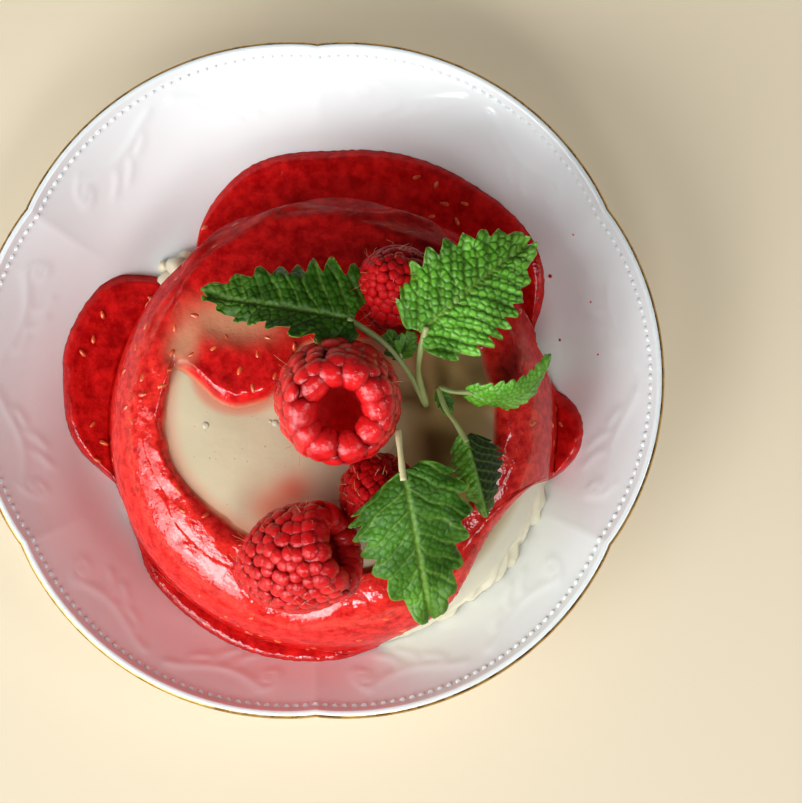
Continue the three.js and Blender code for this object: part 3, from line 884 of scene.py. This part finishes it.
def make_pudding(cream):
    angle = circle(PUDDING_COLUMNS)
    points = pudding_points(angle)
    roughen(points, angle)
    x, y, z = np.moveaxis(points, -1, 0)
    top = smooth_step(*TOP_BAND, z)
    pudding = Builder()
    pudding.add(
        points,
        ring_faces(len(points), PUDDING_COLUMNS),
        # Red spots beside the berries are painted reflection; the rest is juice stain.
        stain=juice_stain_and_reflection(x, y).ravel(),
        # Painted light: the sides paler, as if lit.
        side=0.85 * (1 - top).ravel(),
        # Painted shade: the right part of the top browner, where the berries and leaves shade it.
        brown=0.95 * (top * smooth_step(*PAINTED_SHADE_BAND, x)).ravel(),
    )
    shape, faces = blob_shape(10, 14)
    add_crumbs(pudding, shape, faces)
    for x, y, size in BUBBLES:
        pudding.add(shape * [size, size, 0.4 * size] + [x, y, float(support_height(x, y))], faces)
    pudding.build("pudding_cream", [cream], "pudding")


# Sauce


def turn_share(centre, spread, angle):
    """Angle from a run's or gap's middle, as a share of its half width."""
    return np.abs(angle_from(math.radians(centre), angle)) / math.radians(spread)


def sauce_reach(angle):
    """How far the sauce reaches from the pudding's axis."""
    runs = [
        reach * np.sqrt(np.maximum(0, 1 - turn_share(centre, spread, angle) ** RUN_POWER))
        for centre, spread, reach in SAUCE_RUNS
    ]
    gaps = [
        reach * np.cos(np.minimum(turn_share(centre, spread, angle), 1) * math.pi / 2) ** 2
        for centre, spread, reach in SAUCE_GAPS
    ]
    return SAUCE_REACH + np.max(runs, 0) + np.min(gaps, 0)


def cream_shows(x, y):
    return (opening_inset(x, y) > 0) & (y < COVER_Y) & (tongue_level(x, y) > 1)


def smooth_ring(values, width):
    """Values round a ring, averaged over a number of neighbours."""
    steps = np.arange(-2 * width, 2 * width + 1)
    weights = np.exp(-(steps / width) ** 2)
    return sum(weight * np.roll(values, step, 0) for weight, step in zip(weights, steps)) / weights.sum()


def sauce_depth(x, y):
    """Depth of the sauce: a rounded ring on the shoulder, shallow under the berries."""
    ring = np.hypot(x - PUDDING[0], y - PUDDING[1])
    depth = SAUCE_DEPTH + RING_SWELL * np.exp(-((ring - RING_RADIUS) / RING_WIDTH) ** 2)
    for berry in BERRIES:
        away = np.hypot(x - berry.centre[0], y - berry.centre[1]) / berry.radius
        clear = smooth_step(*BERRY_BED_BAND, away)
        depth = depth * clear + BERRY_BED_DEPTH * (1 - clear)
    return depth


def thin_film(x, y):
    """Where the sauce is only a pink film on the cream."""
    film = np.zeros(np.shape(x))
    for (middle_x, middle_y), (half_along, half_across), turn in FILMS:
        along = (x - middle_x) * math.cos(turn) + (y - middle_y) * math.sin(turn)
        across = (y - middle_y) * math.cos(turn) - (x - middle_x) * math.sin(turn)
        film = film + np.exp(-((along / half_along) ** 2 + (across / half_across) ** 2) ** 1.5)
    return np.minimum(film, 1)


def window_mean(points, reach):
    """Running mean whose window shrinks towards both ends."""
    count = len(points)
    index = np.arange(count)
    half = np.minimum(int(round(reach / SECTION_STEP)), np.minimum(index, count - 1 - index))
    total = np.vstack([np.zeros((1, 2)), np.cumsum(points, 0)])
    return (total[index + half + 1] - total[index - half]) / (2 * half + 1)[:, None]


def raised(points, distance):
    """A curve moved outwards, at right angles to itself."""
    along = unit(np.gradient(points, axis=0))
    return points + np.stack([-along[:, 1], along[:, 0]], -1) * np.reshape(distance, (-1, 1))


class Section:
    """Upright section through the sauce, from the opening on the cream to the sauce's outer edge."""

    def __init__(self, start, end, height):
        length = np.hypot(*(end - start))
        ground = np.stack([np.linspace(0, length, len(height)), height], -1)
        travel = travel_along(ground)
        self.start = start
        self.along = (end - start) / length
        self.even = np.arange(0, travel[-1], SECTION_STEP)
        self.to_end = self.even[-1] - self.even
        self.line = np.stack([np.interp(self.even, travel, column) for column in ground.T], -1)
        self.plan = start + self.line[:, :1] * self.along
        self.level = self.line[:, 1]
        self.away = np.hypot(*(self.plan - PUDDING).T)
        self.high = smooth_step(*HIGH_BAND, self.level)
        self.behind = smooth_step(*BEHIND_BAND, self.plan[:, 1])
        film = thin_film(*self.plan.T) * (self.level > TOP_LEVEL)
        self.film = np.maximum(film, 1 - smooth_step(0, 0.45 * SAUCE_FEATHER, self.even))

    def edge(self):
        """Share of the full depth: rounded at the outer edge, feathered at the opening."""
        width = SAUCE_EDGE * (1 + 1.2 * smooth_step(*WIDE_EDGE_BAND, self.level[-1]))
        inset = np.clip(self.to_end / width, 0, 1)
        return np.sqrt(1 - (1 - inset) ** 2) * smooth_step(-0.4, SAUCE_FEATHER, self.even)

    def lumps(self, eased):
        """Small lumps, with folds round the far shoulder."""
        spot = np.column_stack([self.plan, self.level])
        wall = smooth_step(*WALL_BAND, np.abs(np.gradient(eased[:, 1])) / SECTION_STEP)
        lumps = (0.1 * waves(spot, 9, 21) + 0.06 * waves(spot, 3.5, 22)) * (1 - 0.8 * wall)
        for index, fold in enumerate(FOLDS):
            off = self.away - fold - 0.6 * waves(spot * [1, 1, 0], 16, 60 + index)
            lumps += FOLD_HEIGHT * self.behind * np.exp(-(off / FOLD_HALF) ** 2)
        return lumps * (1 - self.film)

    def depth(self, edge, lumps):
        """Depth of the sauce, thin down the pudding's side and deeper in the pools."""
        depth = sauce_depth(*self.plan.T) * (1 - 0.75 * self.film)
        depth *= 0.35 + 0.65 * np.maximum(self.high, smooth_step(*FOOT_BAND, self.away))
        pool = smooth_step(*POOL_BAND, self.away)
        return (depth + 0.5 * pool + edge * smooth_step(0, 6, self.to_end) * lumps) * edge

    def curves(self):
        """Lower and upper curve, and the depth between them."""
        eased = window_mean(self.line, 1)
        depth = self.depth(self.edge(), self.lumps(eased))
        lift = SAUCE_LIFT * smooth_step(0, 4, self.even) * smooth_step(0, 2.5, self.to_end) + 0.02
        high = self.high[:, None]
        rounded = window_mean(self.line, SAUCE_FILLET) * high + window_mean(self.line, 3) * (1 - high)
        lower = raised(eased, lift)
        upper = raised(rounded, lift + depth)
        upper[[0, -1]] = lower[[0, -1]]
        return lower, upper, depth

    def looks(self, upper, depth):
        """Thinness with painted light on the near ring, film and gloss along the upper curve, for the
        material.
        """
        thin = 1 - smooth_step(*THIN_BAND, depth)
        ring = smooth_step(*RING_INNER_BAND, self.away) * (1 - smooth_step(*RING_OUTER_BAND, self.away))
        steep = smooth_step(*STEEP_BAND, np.abs(unit(np.gradient(upper, axis=0))[:, 1]))
        dry = np.maximum(self.behind, smooth_step(*DRY_BAND, self.plan @ DRY_WAY))
        wet = (1 - (0.45 + 0.35 * self.behind) * steep) * (1 - 0.55 * dry)
        # Painted light: the ring is lighter red except on the far side, which stays darker as painted shade.
        thin_and_lit = np.clip(0.9 * ring * (1 - self.behind) + 0.45 * thin, 0, 1)
        return thin_and_lit, self.film, wet * smooth_step(0, 3, self.even)

    def rows(self):
        """Lower point, upper point and looks at each row; the rows lie closer at both ends."""
        lower, upper, depth = self.curves()
        part = np.linspace(0, 1, SAUCE_ROWS)
        places = (len(self.even) - 1) * (part - 0.09 * np.sin(TURN * part))
        table = np.column_stack([lower, upper, *self.looks(upper, depth)])
        index = np.arange(len(table))
        low, low_z, high, high_z, *looks = (np.interp(places, index, line) for line in table.T)
        low_plan, high_plan = (self.start + along[:, None] * self.along for along in (low, high))
        return np.column_stack([low_plan, low_z, high_plan, high_z, *looks])


def sauce_ends(angle):
    """Where the sauce starts at the opening, and where it ends, in plan."""
    ray = np.stack([np.cos(angle), np.sin(angle)], -1)
    steps = np.arange(0, 62, 0.08)
    shows = cream_shows(OPENING[0] + ray[:, :1] * steps, OPENING[1] + ray[:, 1:] * steps)
    start = OPENING + ray * smooth_ring(steps[np.argmin(shows, 1)], 4)[:, None]
    rim = np.column_stack([start, 0 * angle])
    start += ray * (0.4 * waves(rim, 22, 31) + 0.1 * waves(rim, 6, 34))[:, None]
    outer = smooth_ring(sauce_reach(angle), 7)
    end = PUDDING + ray * outer[:, None]
    in_pool = smooth_step(PUDDING_RADIUS, PUDDING_RADIUS + 3, outer)
    end += ray * (in_pool * 0.5 * waves(np.column_stack([end, 0 * angle]), 34, 32))[:, None]
    return start, end


def sauce_surface():
    """Grids of the sauce's lower points, upper points and looks, with a section in each column."""
    start, end = sauce_ends(circle(SAUCE_COLUMNS))
    share = np.linspace(0, 1, SECTION_SAMPLES)[None, :, None]
    plan = start[:, None] * (1 - share) + end[:, None] * share
    heights = support_height(plan[..., 0], plan[..., 1])
    table = np.stack([Section(*ends).rows() for ends in zip(start, end, heights)], 1)
    looks = dict(zip(("thin", "film", "gloss"), np.moveaxis(table[..., 6:], -1, 0)))
    return table[..., :3], table[..., 3:6], looks


def make_sauce(sauce):
    """The coat of sauce, whose underside has fewer rows; gives the grid of its upper points."""
    lower, upper, looks = sauce_surface()
    columns = upper.shape[1]
    under = lower[::4]
    points = np.concatenate([under, upper[::-1]])
    blank = np.zeros(under.shape[:2])
    values = {name: np.concatenate([blank, value[::-1]]).ravel() for name, value in looks.items()}
    faces = ring_faces(len(points), columns, capped=False)
    top = (len(points) - 1) * columns
    faces += [[top + c, top + (c + 1) % columns, (c + 1) % columns, c] for c in range(columns)]
    coat = Builder()
    coat.add(points, faces, **values)
    coat.build("sauce_coat", [sauce], "sauce")
    return upper


def under_berry(spot):
    beneath = any(np.hypot(*(spot[:2] - berry.centre)) < berry.radius for berry in BERRIES)
    return beneath and spot[2] > TOP_LEVEL


def make_seeds(upper, seed_look):
    """Raspberry seeds lying in the sauce, in patches and clear of each other."""
    rows, columns = upper.shape[:2]
    normals = unit(np.cross(np.gradient(upper, axis=1), np.gradient(upper, axis=0)))
    normals *= np.sign((normals * (upper - SAUCE_MIDDLE)).sum(-1, keepdims=True))
    shape, faces = blob_shape(8, 12)
    seeds = Builder()
    taken = []
    for _ in range(SEED_TRIES):
        row = random.integers(12, rows - 10)
        column = random.integers(columns)
        spot = upper[row, column]
        normal = normals[row, column]
        if waves(spot, SEED_PATCH, 33) < 0.1 or under_berry(spot):
            continue
        if taken and np.min(np.linalg.norm(np.array(taken) - spot, axis=1)) < SEED_SPACING:
            continue
        taken.append(spot)
        first, second = side_axes(normal, unit(random.normal(size=3)))
        local = shape * SEED_HALF * random.uniform(0.85, 1.15)
        along, across, out = local[:, :1], local[:, 1:2], local[:, 2:]
        taper = 1 - 0.25 * along
        seeds.add(spot - normal * SEED_SINK + along * first + across * taper * second + out * normal, faces)
    seeds.build("sauce_seeds", [seed_look])


def make_specks(sauce):
    """Tiny drops of sauce on the dish."""
    shape, faces = blob_shape(6, 12)
    drops = Builder()
    for x, y, size in SPECKS:
        drop = shape * [size, size * 0.85, size * 0.4] + [x, y, dish_height(x, y)]
        drops.add(drop, faces, thin=0.6, gloss=1)
    drops.build("sauce_specks", [sauce])


# Raspberries


def berry_profile(berry, share):
    """Radius and height of the face that carries the drupelets, from the tip to the open end."""
    swell = np.sin(np.minimum(1, share / BERRY_WIDEST) * math.pi / 2) ** 0.85
    close = 1 - 0.1 * smooth_step(BERRY_WIDEST, 1, share)
    return (berry.radius * close - DRUPELET_BUMP) * swell, berry.length * share ** 1.25


class BerryOutline:
    """Outline from a berry's tip to its open end, rolled inwards at an open berry's lip."""

    def __init__(self, berry):
        line = np.column_stack(berry_profile(berry, np.linspace(0.001, 1, 300)))
        lip = BERRY_LIP * berry.radius
        if berry.is_open:
            line = line[line[:, 1] < berry.length - lip]
            turn = np.linspace(0, math.pi * 1.08, 60)[1:]
            line = np.vstack([line, line[-1] + lip * np.column_stack([np.cos(turn) - 1, np.sin(turn)])])
        along = unit(np.gradient(line, axis=0))
        self.line = line
        self.normal = np.column_stack([along[:, 1], -along[:, 0]])
        self.travel = travel_along(line)
        self.length = self.travel[-1]
        self.lip = self.length - math.pi * BERRY_LIP * berry.radius if berry.is_open else self.length

    def at(self, travel, values):
        return np.stack([np.interp(travel, self.travel, column) for column in values.T], -1)


def drupelet_rings(outline, berry):
    """Rings of drupelets as (travel, half length along the outline, width of one)."""
    radius = berry.radius
    rings = []
    end = outline.lip + 0.12 * radius if berry.is_open else outline.length - 0.1 * radius
    travel = 0.09 * radius
    while travel < end:
        size = berry.drupelet_width * (0.7 + 0.36 * travel / outline.length)
        rings.append((travel, 0.56 * size, size))
        travel += 0.8 * size
    if berry.is_open:
        half = 0.5 * (outline.length - travel) + 0.22 * radius
        rings.append((outline.length - 0.62 * half, 0.92 * half, 0.31 * radius))
    return rings


def drupelet(outline, shape, travel, half, angle, tilt):
    """A shape bent to follow the outline: one drupelet, or the line of its hair."""
    side = shape[:, 0] * half[0]
    run = shape[:, 1] * half[1]
    place = np.clip(travel + run * math.cos(tilt) + side * math.sin(tilt), 0, outline.length)
    about = max(outline.at(travel, outline.line)[0], 0.35 * half[0])
    turn = angle + (side * math.cos(tilt) - run * math.sin(tilt)) / about
    flat = outline.at(place, outline.line) + outline.at(place, outline.normal) * (shape[:, 2:] * half[2])
    return turned(flat[:, 0], turn, flat[:, 1])


def berry_drupelets(outline, berry):
    """All drupelets about the berry's own axis, the lines of their hairs, their faces and their crowns, which
    set the painted shade in the creases between them.
    """
    shape, faces = blob_shape(12, 16) if berry.is_open else blob_shape(10, 12)
    balls = []
    hairs = []
    for ring, (travel, run, width) in enumerate(drupelet_rings(outline, berry)):
        about = outline.at(travel, outline.line)[0]
        count = max(1, int(round(TURN * about / width)))
        width = max(TURN * about / count, 0.6 * width) if count > 1 else width
        bulge = 0.39 if travel < outline.lip else 0.27
        for step in range(count):
            angle = TURN * (step + 0.5 * (ring % 2) + random.uniform(-0.2, 0.2)) / count
            grow = random.uniform(0.9, 1.14)
            half = np.array([0.66 * width, 1.2 * run, bulge * min(width, 2 * run)]) * grow
            tilt = random.uniform(-0.3, 0.3)
            stagger = 0.12 * math.cos(2 * angle + 1) + random.uniform(-0.32, 0.32)
            if travel + 2.5 * run < outline.lip:
                stagger += 0.3 * (-1) ** step
            place = travel + stagger * run
            balls.append(drupelet(outline, shape, place, half, angle, tilt))
            if travel < outline.lip:
                hairs.append(drupelet(outline, HAIR_LINE, place, half, angle, tilt))
    return balls, hairs, faces, smooth_step(0.3, 0.85, shape[:, 2])


def berry_core(outline, berry):
    """The inside of a berry: a cup with a hollow, or a plain plug."""
    inside = (outline.line - CORE_INSET * outline.normal)[4::6]
    if berry.is_open:
        mouth, brim = inside[-1]
        depth = np.linspace(0.05, 1, 18)
        down = brim - (brim - HOLLOW_END * berry.length) * depth
        inside = np.vstack([inside, np.column_stack([mouth * (1 - 0.97 * depth ** 3.5), down])])
    turn = circle(CORE_COLUMNS)
    across = np.maximum(inside[:, :1], 0.03) * (1 + 0.035 * np.sin(12 * turn))
    return turned(across, turn, inside[:, 1:]), ring_faces(len(inside), CORE_COLUMNS)


def add_hair(builder, knots):
    """One fine dry style that stands up between the drupelets."""
    part = np.linspace(0, 1, HAIR_POINTS)[:, None]
    bend = random.normal(size=3) * 0.8
    line = (1 - part) ** 2 * knots[0] + 2 * part * (1 - part) * knots[1] + part ** 2 * (knots[2] + bend)
    points, faces = tube(line, np.linspace(*HAIR_RADII, HAIR_POINTS), 5)
    builder.add(points, faces, 2)


def make_berry(berry, flesh, core, hair):
    outline = BerryOutline(berry)
    balls, hairs, faces, crown = berry_drupelets(outline, berry)
    turn = np.array(Vector((0, 0, 1)).rotation_difference(Vector(berry.facing)).to_matrix())
    middle = np.array([0, 0, berry.length / 2])
    lowest = min(((ball - middle) @ turn.T)[:, 2].min() for ball in balls)
    rest = np.array([*berry.centre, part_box(berry.node)[0][2] / MM - lowest])
    gloss = 0.75 * max(0, 2 * berry.brightness - 1)
    builder = Builder()
    for ball in balls:
        placed = (ball - middle) @ turn.T + rest
        # Painted shade in the creases, deeper on the berries that lie in shadow.
        builder.add(placed, faces, 0, crown=crown * berry.brightness, gloss=gloss)
    inner, inner_faces = berry_core(outline, berry)
    builder.add((inner - middle) @ turn.T + rest, inner_faces, 1)
    for knots in hairs:
        if random.random() < HAIR_SHARE:
            add_hair(builder, (knots - middle) @ turn.T + rest)
    builder.build(berry.node + "_look", [flesh, core, hair], berry.node)


# Leaves


def rotated(vectors, axes, angle):
    """Vectors turned about axes by one angle."""
    return (
        vectors * math.cos(angle)
        + np.cross(axes, vectors) * math.sin(angle)
        + axes * (axes * vectors).sum(-1, keepdims=True) * (1 - math.cos(angle))
    )


def leaf_midrib(leaf, share):
    """Points of the midrib and its direction there, beyond both ends too."""
    base, tip, arch = (np.array(place, float) for place in (leaf.base, leaf.tip, leaf.arch))
    middle = (base + tip) / 2 + 2 * arch
    part = share[..., None]
    point = (1 - part) ** 2 * base + 2 * part * (1 - part) * middle + part ** 2 * tip
    return point, unit(2 * (1 - part) * (middle - base) + 2 * part * (tip - middle))


def cell_centres(leaf, length, pitch, chance):
    """Middles of the bulges between a blade's small veins, in slanting bands on both sides."""
    bands = np.arange(-8, int(length / pitch) + 2)
    steps = np.arange(int(leaf.half_width * 1.4 / (CELL_ASPECT * pitch)) + 2)
    band, step = np.meshgrid(bands, steps, indexing="ij")
    centres = []
    for side in (1, -1):
        shift = chance.uniform(-0.5, 0.5, (len(bands), 1))
        out = np.abs(step + 0.5 + shift + chance.uniform(-0.25, 0.25, band.shape)) * CELL_ASPECT * pitch
        up = (band + 0.5 + chance.uniform(-0.2, 0.2, band.shape)) * pitch + VEIN_SLANT * out
        centres.append(np.column_stack([up.ravel(), side * out.ravel()]))
    return np.vstack(centres)


def leaf_cells(leaf, along, across, length, chance):
    """How high each point of a blade lies between its small veins, from 0 at a vein to 1."""
    pitch = CELL * min(1, leaf.half_width / 7)
    spots = np.column_stack([along.ravel(), across.ravel()])
    first = np.full(len(spots), FAR)
    second = np.full(len(spots), FAR)
    for centre in cell_centres(leaf, length, pitch, chance):
        away = np.hypot(*(spots - centre).T)
        second = np.minimum(second, np.maximum(first, away))
        first = np.minimum(first, away)
    return smooth_step(0, 0.4 * pitch, second - first).reshape(along.shape)


def leaf_relief(leaf, flat, along, out, seed):
    """Heights of a blade's quilting, how far each point lies on a vein, and how far out of a crease, for
    painted shade in the creases.
    """
    scale = leaf.half_width / USUAL_HALF_WIDTH
    length = np.linalg.norm(np.subtract(leaf.tip, leaf.base))
    dome = leaf_cells(leaf, along * length, out, length, np.random.default_rng(seed))
    rib = np.exp(-(out / (0.42 * scale + 0.1)) ** 2)
    pitch = length / (leaf.teeth + 0.5)
    flow = (along * length - VEIN_SLANT * np.abs(out)) / pitch + 0.08 * waves(flat, 6, seed + 5)
    lateral = np.exp(-(np.abs(flow - np.round(flow)) * pitch / (0.24 * scale + 0.08)) ** 2)
    band = np.abs(np.sin(math.pi * flow)) ** 0.6 * smooth_step(0, 1.5 * scale, np.abs(out))
    lift = scale * leaf.quilt * (0.4 * band + 0.26 * dome - 0.15 * lateral) - 0.45 * scale * rib
    # The tip is paler.
    paler_tip = 0.3 * smooth_step(0.7, 1, along)
    vein = np.maximum(np.maximum(0.7 * rib, 0.4 * lateral), paler_tip)
    crease_light_share = 1 - min(1, 1.1 * leaf.quilt) * (1 - np.clip(0.4 * band + 0.6 * dome, 0, 1))
    return lift, vein, crease_light_share


def leaf_blade(leaf, share, across):
    """A toothed flat blade: places along the midrib, distances from it, points and normals."""
    peak = math.log(0.5) / math.log(leaf.widest)
    width = leaf.half_width * np.sin(math.pi * share ** peak) ** 0.58
    saw = (share * leaf.teeth + 0.25 * np.sign(across) * np.sin(7 * share)) % 1
    lobe = np.sin(math.pi * saw ** 1.6) ** 0.9
    edge = np.abs(across) ** 4
    reach = across * (1 + edge * leaf.tooth * (lobe - 0.5))
    lag = np.where(across < 0, *leaf.heel) * across ** 2 * (1 - smooth_step(*HEEL_BAND, share))
    place = share + edge * lobe * 0.7 * leaf.tooth / leaf.teeth - lag
    point, along = leaf_midrib(leaf, place)
    side = rotated(unit(np.cross(UP, along)), along, math.radians(leaf.roll))
    out = reach * width * (1 + leaf.lean * across)
    return place, out, point + out[..., None] * side, np.cross(along, side)


def add_leaf(builder, leaf, seed):
    """A toothed, quilted blade with sunken veins."""
    rows = 40 + int(11 * leaf.half_width)
    columns = 21 + 2 * int(2.8 * leaf.half_width)
    across = np.linspace(1, -1, columns)[None]
    place, out, flat, normal = leaf_blade(leaf, np.linspace(0.004, 0.996, rows)[:, None], across)
    lift, vein, dome = leaf_relief(leaf, flat, place, out, seed)
    ripple = 0.8 * waves(flat, 14, seed) + 0.4 * waves(flat, 6, seed + 1)
    lift += leaf.half_width / USUAL_HALF_WIDTH * np.abs(across) ** 1.5 * ripple
    bent = flat + (leaf.fold * np.abs(out) + lift)[..., None] * normal
    half = 0.5 * LEAF_THICKNESS * (1 - np.abs(across) ** 8)[..., None] * normal
    lower = (bent - half)[:, -2:0:-1]
    # Painted light: a pale rim at the margin, as light shining through the thin edge.
    painted_edge_light = 0.9 * smooth_step(*PAINTED_EDGE_LIGHT_BAND, np.abs(across))
    # Painted shade: tone darkens the leaves in shadow, and shade darkens one half further.
    tone = leaf.tone * (1 - leaf.shade * smooth_step(-0.06, 0.06, across))
    tone = np.clip(tone * (1 + 0.25 * waves(flat, 9, seed + 3)), 0, 1)

    def both_faces(above, below):
        return np.concatenate([above, np.full(lower.shape[:2], below)], 1).ravel()

    builder.add(
        np.concatenate([bent + half, lower], 1),
        ring_faces(rows, 2 * columns - 2),
        dome=both_faces(dome, 0.8),
        vein=both_faces(np.maximum(vein, painted_edge_light), 0.3),
        tone=both_faces(tone, leaf.tone),
    )


def add_stem(builder, knots, radius, pale):
    swell = radius * (1 + 0.12 * np.sin(np.linspace(0, 9, STEM_POINTS)))
    points, faces = tube(curve_points(knots, STEM_POINTS), swell, 12)
    builder.add(points, faces, 1, tone=pale)


def make_sprigs(leaf_look, stem_look):
    for node, keys, first_seed, stems in SPRIGS:
        sprig = Builder()
        for index, key in enumerate(keys):
            add_leaf(sprig, LEAVES[key], first_seed + 10 * index)
        for stem in stems:
            add_stem(sprig, *stem)
        sprig.build(node + "_look", [leaf_look, stem_look], node)


# Stage


def make_stage():
    corners = [(-1, -1), (1, -1), (1, 1), (-1, 1)]
    mesh = bpy.data.meshes.new("floor")
    mesh.from_pydata([(FLOOR_REACH * x, FLOOR_REACH * y, 0) for x, y in corners], [], [(0, 1, 2, 3)])
    mesh.materials.append(floor_material())
    floor = bpy.data.objects.new("floor", mesh)
    bpy.context.scene.collection.objects.link(floor)


def light_place(azimuth, elevation, distance):
    """Place of a light about the dish, from angles in degrees."""
    flat = distance * math.cos(math.radians(elevation))
    turn = math.radians(azimuth)
    return flat * math.cos(turn), flat * math.sin(turn), distance * math.sin(math.radians(elevation))


def add_light(name, place, size, power):
    light = bpy.data.lights.new(name, "AREA")
    light.shape = "RECTANGLE"
    light.size, light.size_y = size
    light.energy = power
    light.color = LIGHT_COLOUR
    lamp = bpy.data.objects.new(name, light)
    lamp.location = place
    lamp.rotation_euler = (Vector(LIGHT_AIM) - Vector(place)).to_track_quat("-Z", "Y").to_euler()
    bpy.context.scene.collection.objects.link(lamp)


def make_lights():
    """Lamps, and a dim room that is darker overhead."""
    for name, azimuth, elevation, distance, size, power in LIGHTS:
        add_light(name, light_place(azimuth, elevation, distance), size, power)
    world = bpy.data.worlds.new("room")
    world.use_nodes = True
    paint = Paint(world.node_tree, "Background")
    place = paint.tree.nodes.new("ShaderNodeTexCoord")
    parts = paint.tree.nodes.new("ShaderNodeSeparateXYZ")
    paint.tree.links.new(place.outputs["Generated"], parts.inputs["Vector"])
    paint.feed("Color", paint.ramp(parts.outputs["Z"], (0.13, 0.13, 0.13), (0.03, 0.03, 0.03), (0.05, 0.6)))
    bpy.context.scene.world = world
    bpy.context.scene.view_settings.view_transform = "Standard"


def make_camera():
    camera = bpy.data.objects.new("camera", bpy.data.cameras.new("camera"))
    camera.data.lens = CAMERA_LENS
    camera.data.sensor_width = CAMERA_SENSOR
    camera.data.clip_end = CAMERA_CLIP
    away = Vector((0, -math.sin(CAMERA_TILT), math.cos(CAMERA_TILT)))
    camera.location = Vector(CAMERA_AIM) * MM + away * CAMERA_DISTANCE * MM
    camera.rotation_euler = (CAMERA_TILT, 0, 0)
    bpy.context.scene.collection.objects.link(camera)
    bpy.context.scene.camera = camera


def main():
    make_camera()
    porcelain = porcelain_material()
    make_dish(porcelain, gold_material())
    make_beads(porcelain)
    make_pudding(cream_material())
    sauce = sauce_material()
    upper = make_sauce(sauce)
    make_seeds(upper, seed_material())
    make_specks(sauce)
    flesh, core, hair = berry_material(), core_material(), hair_material()
    for berry in BERRIES:
        make_berry(berry, flesh, core, hair)
    make_sprigs(leaf_material(), stem_material())
    make_stage()
    make_lights()


main()
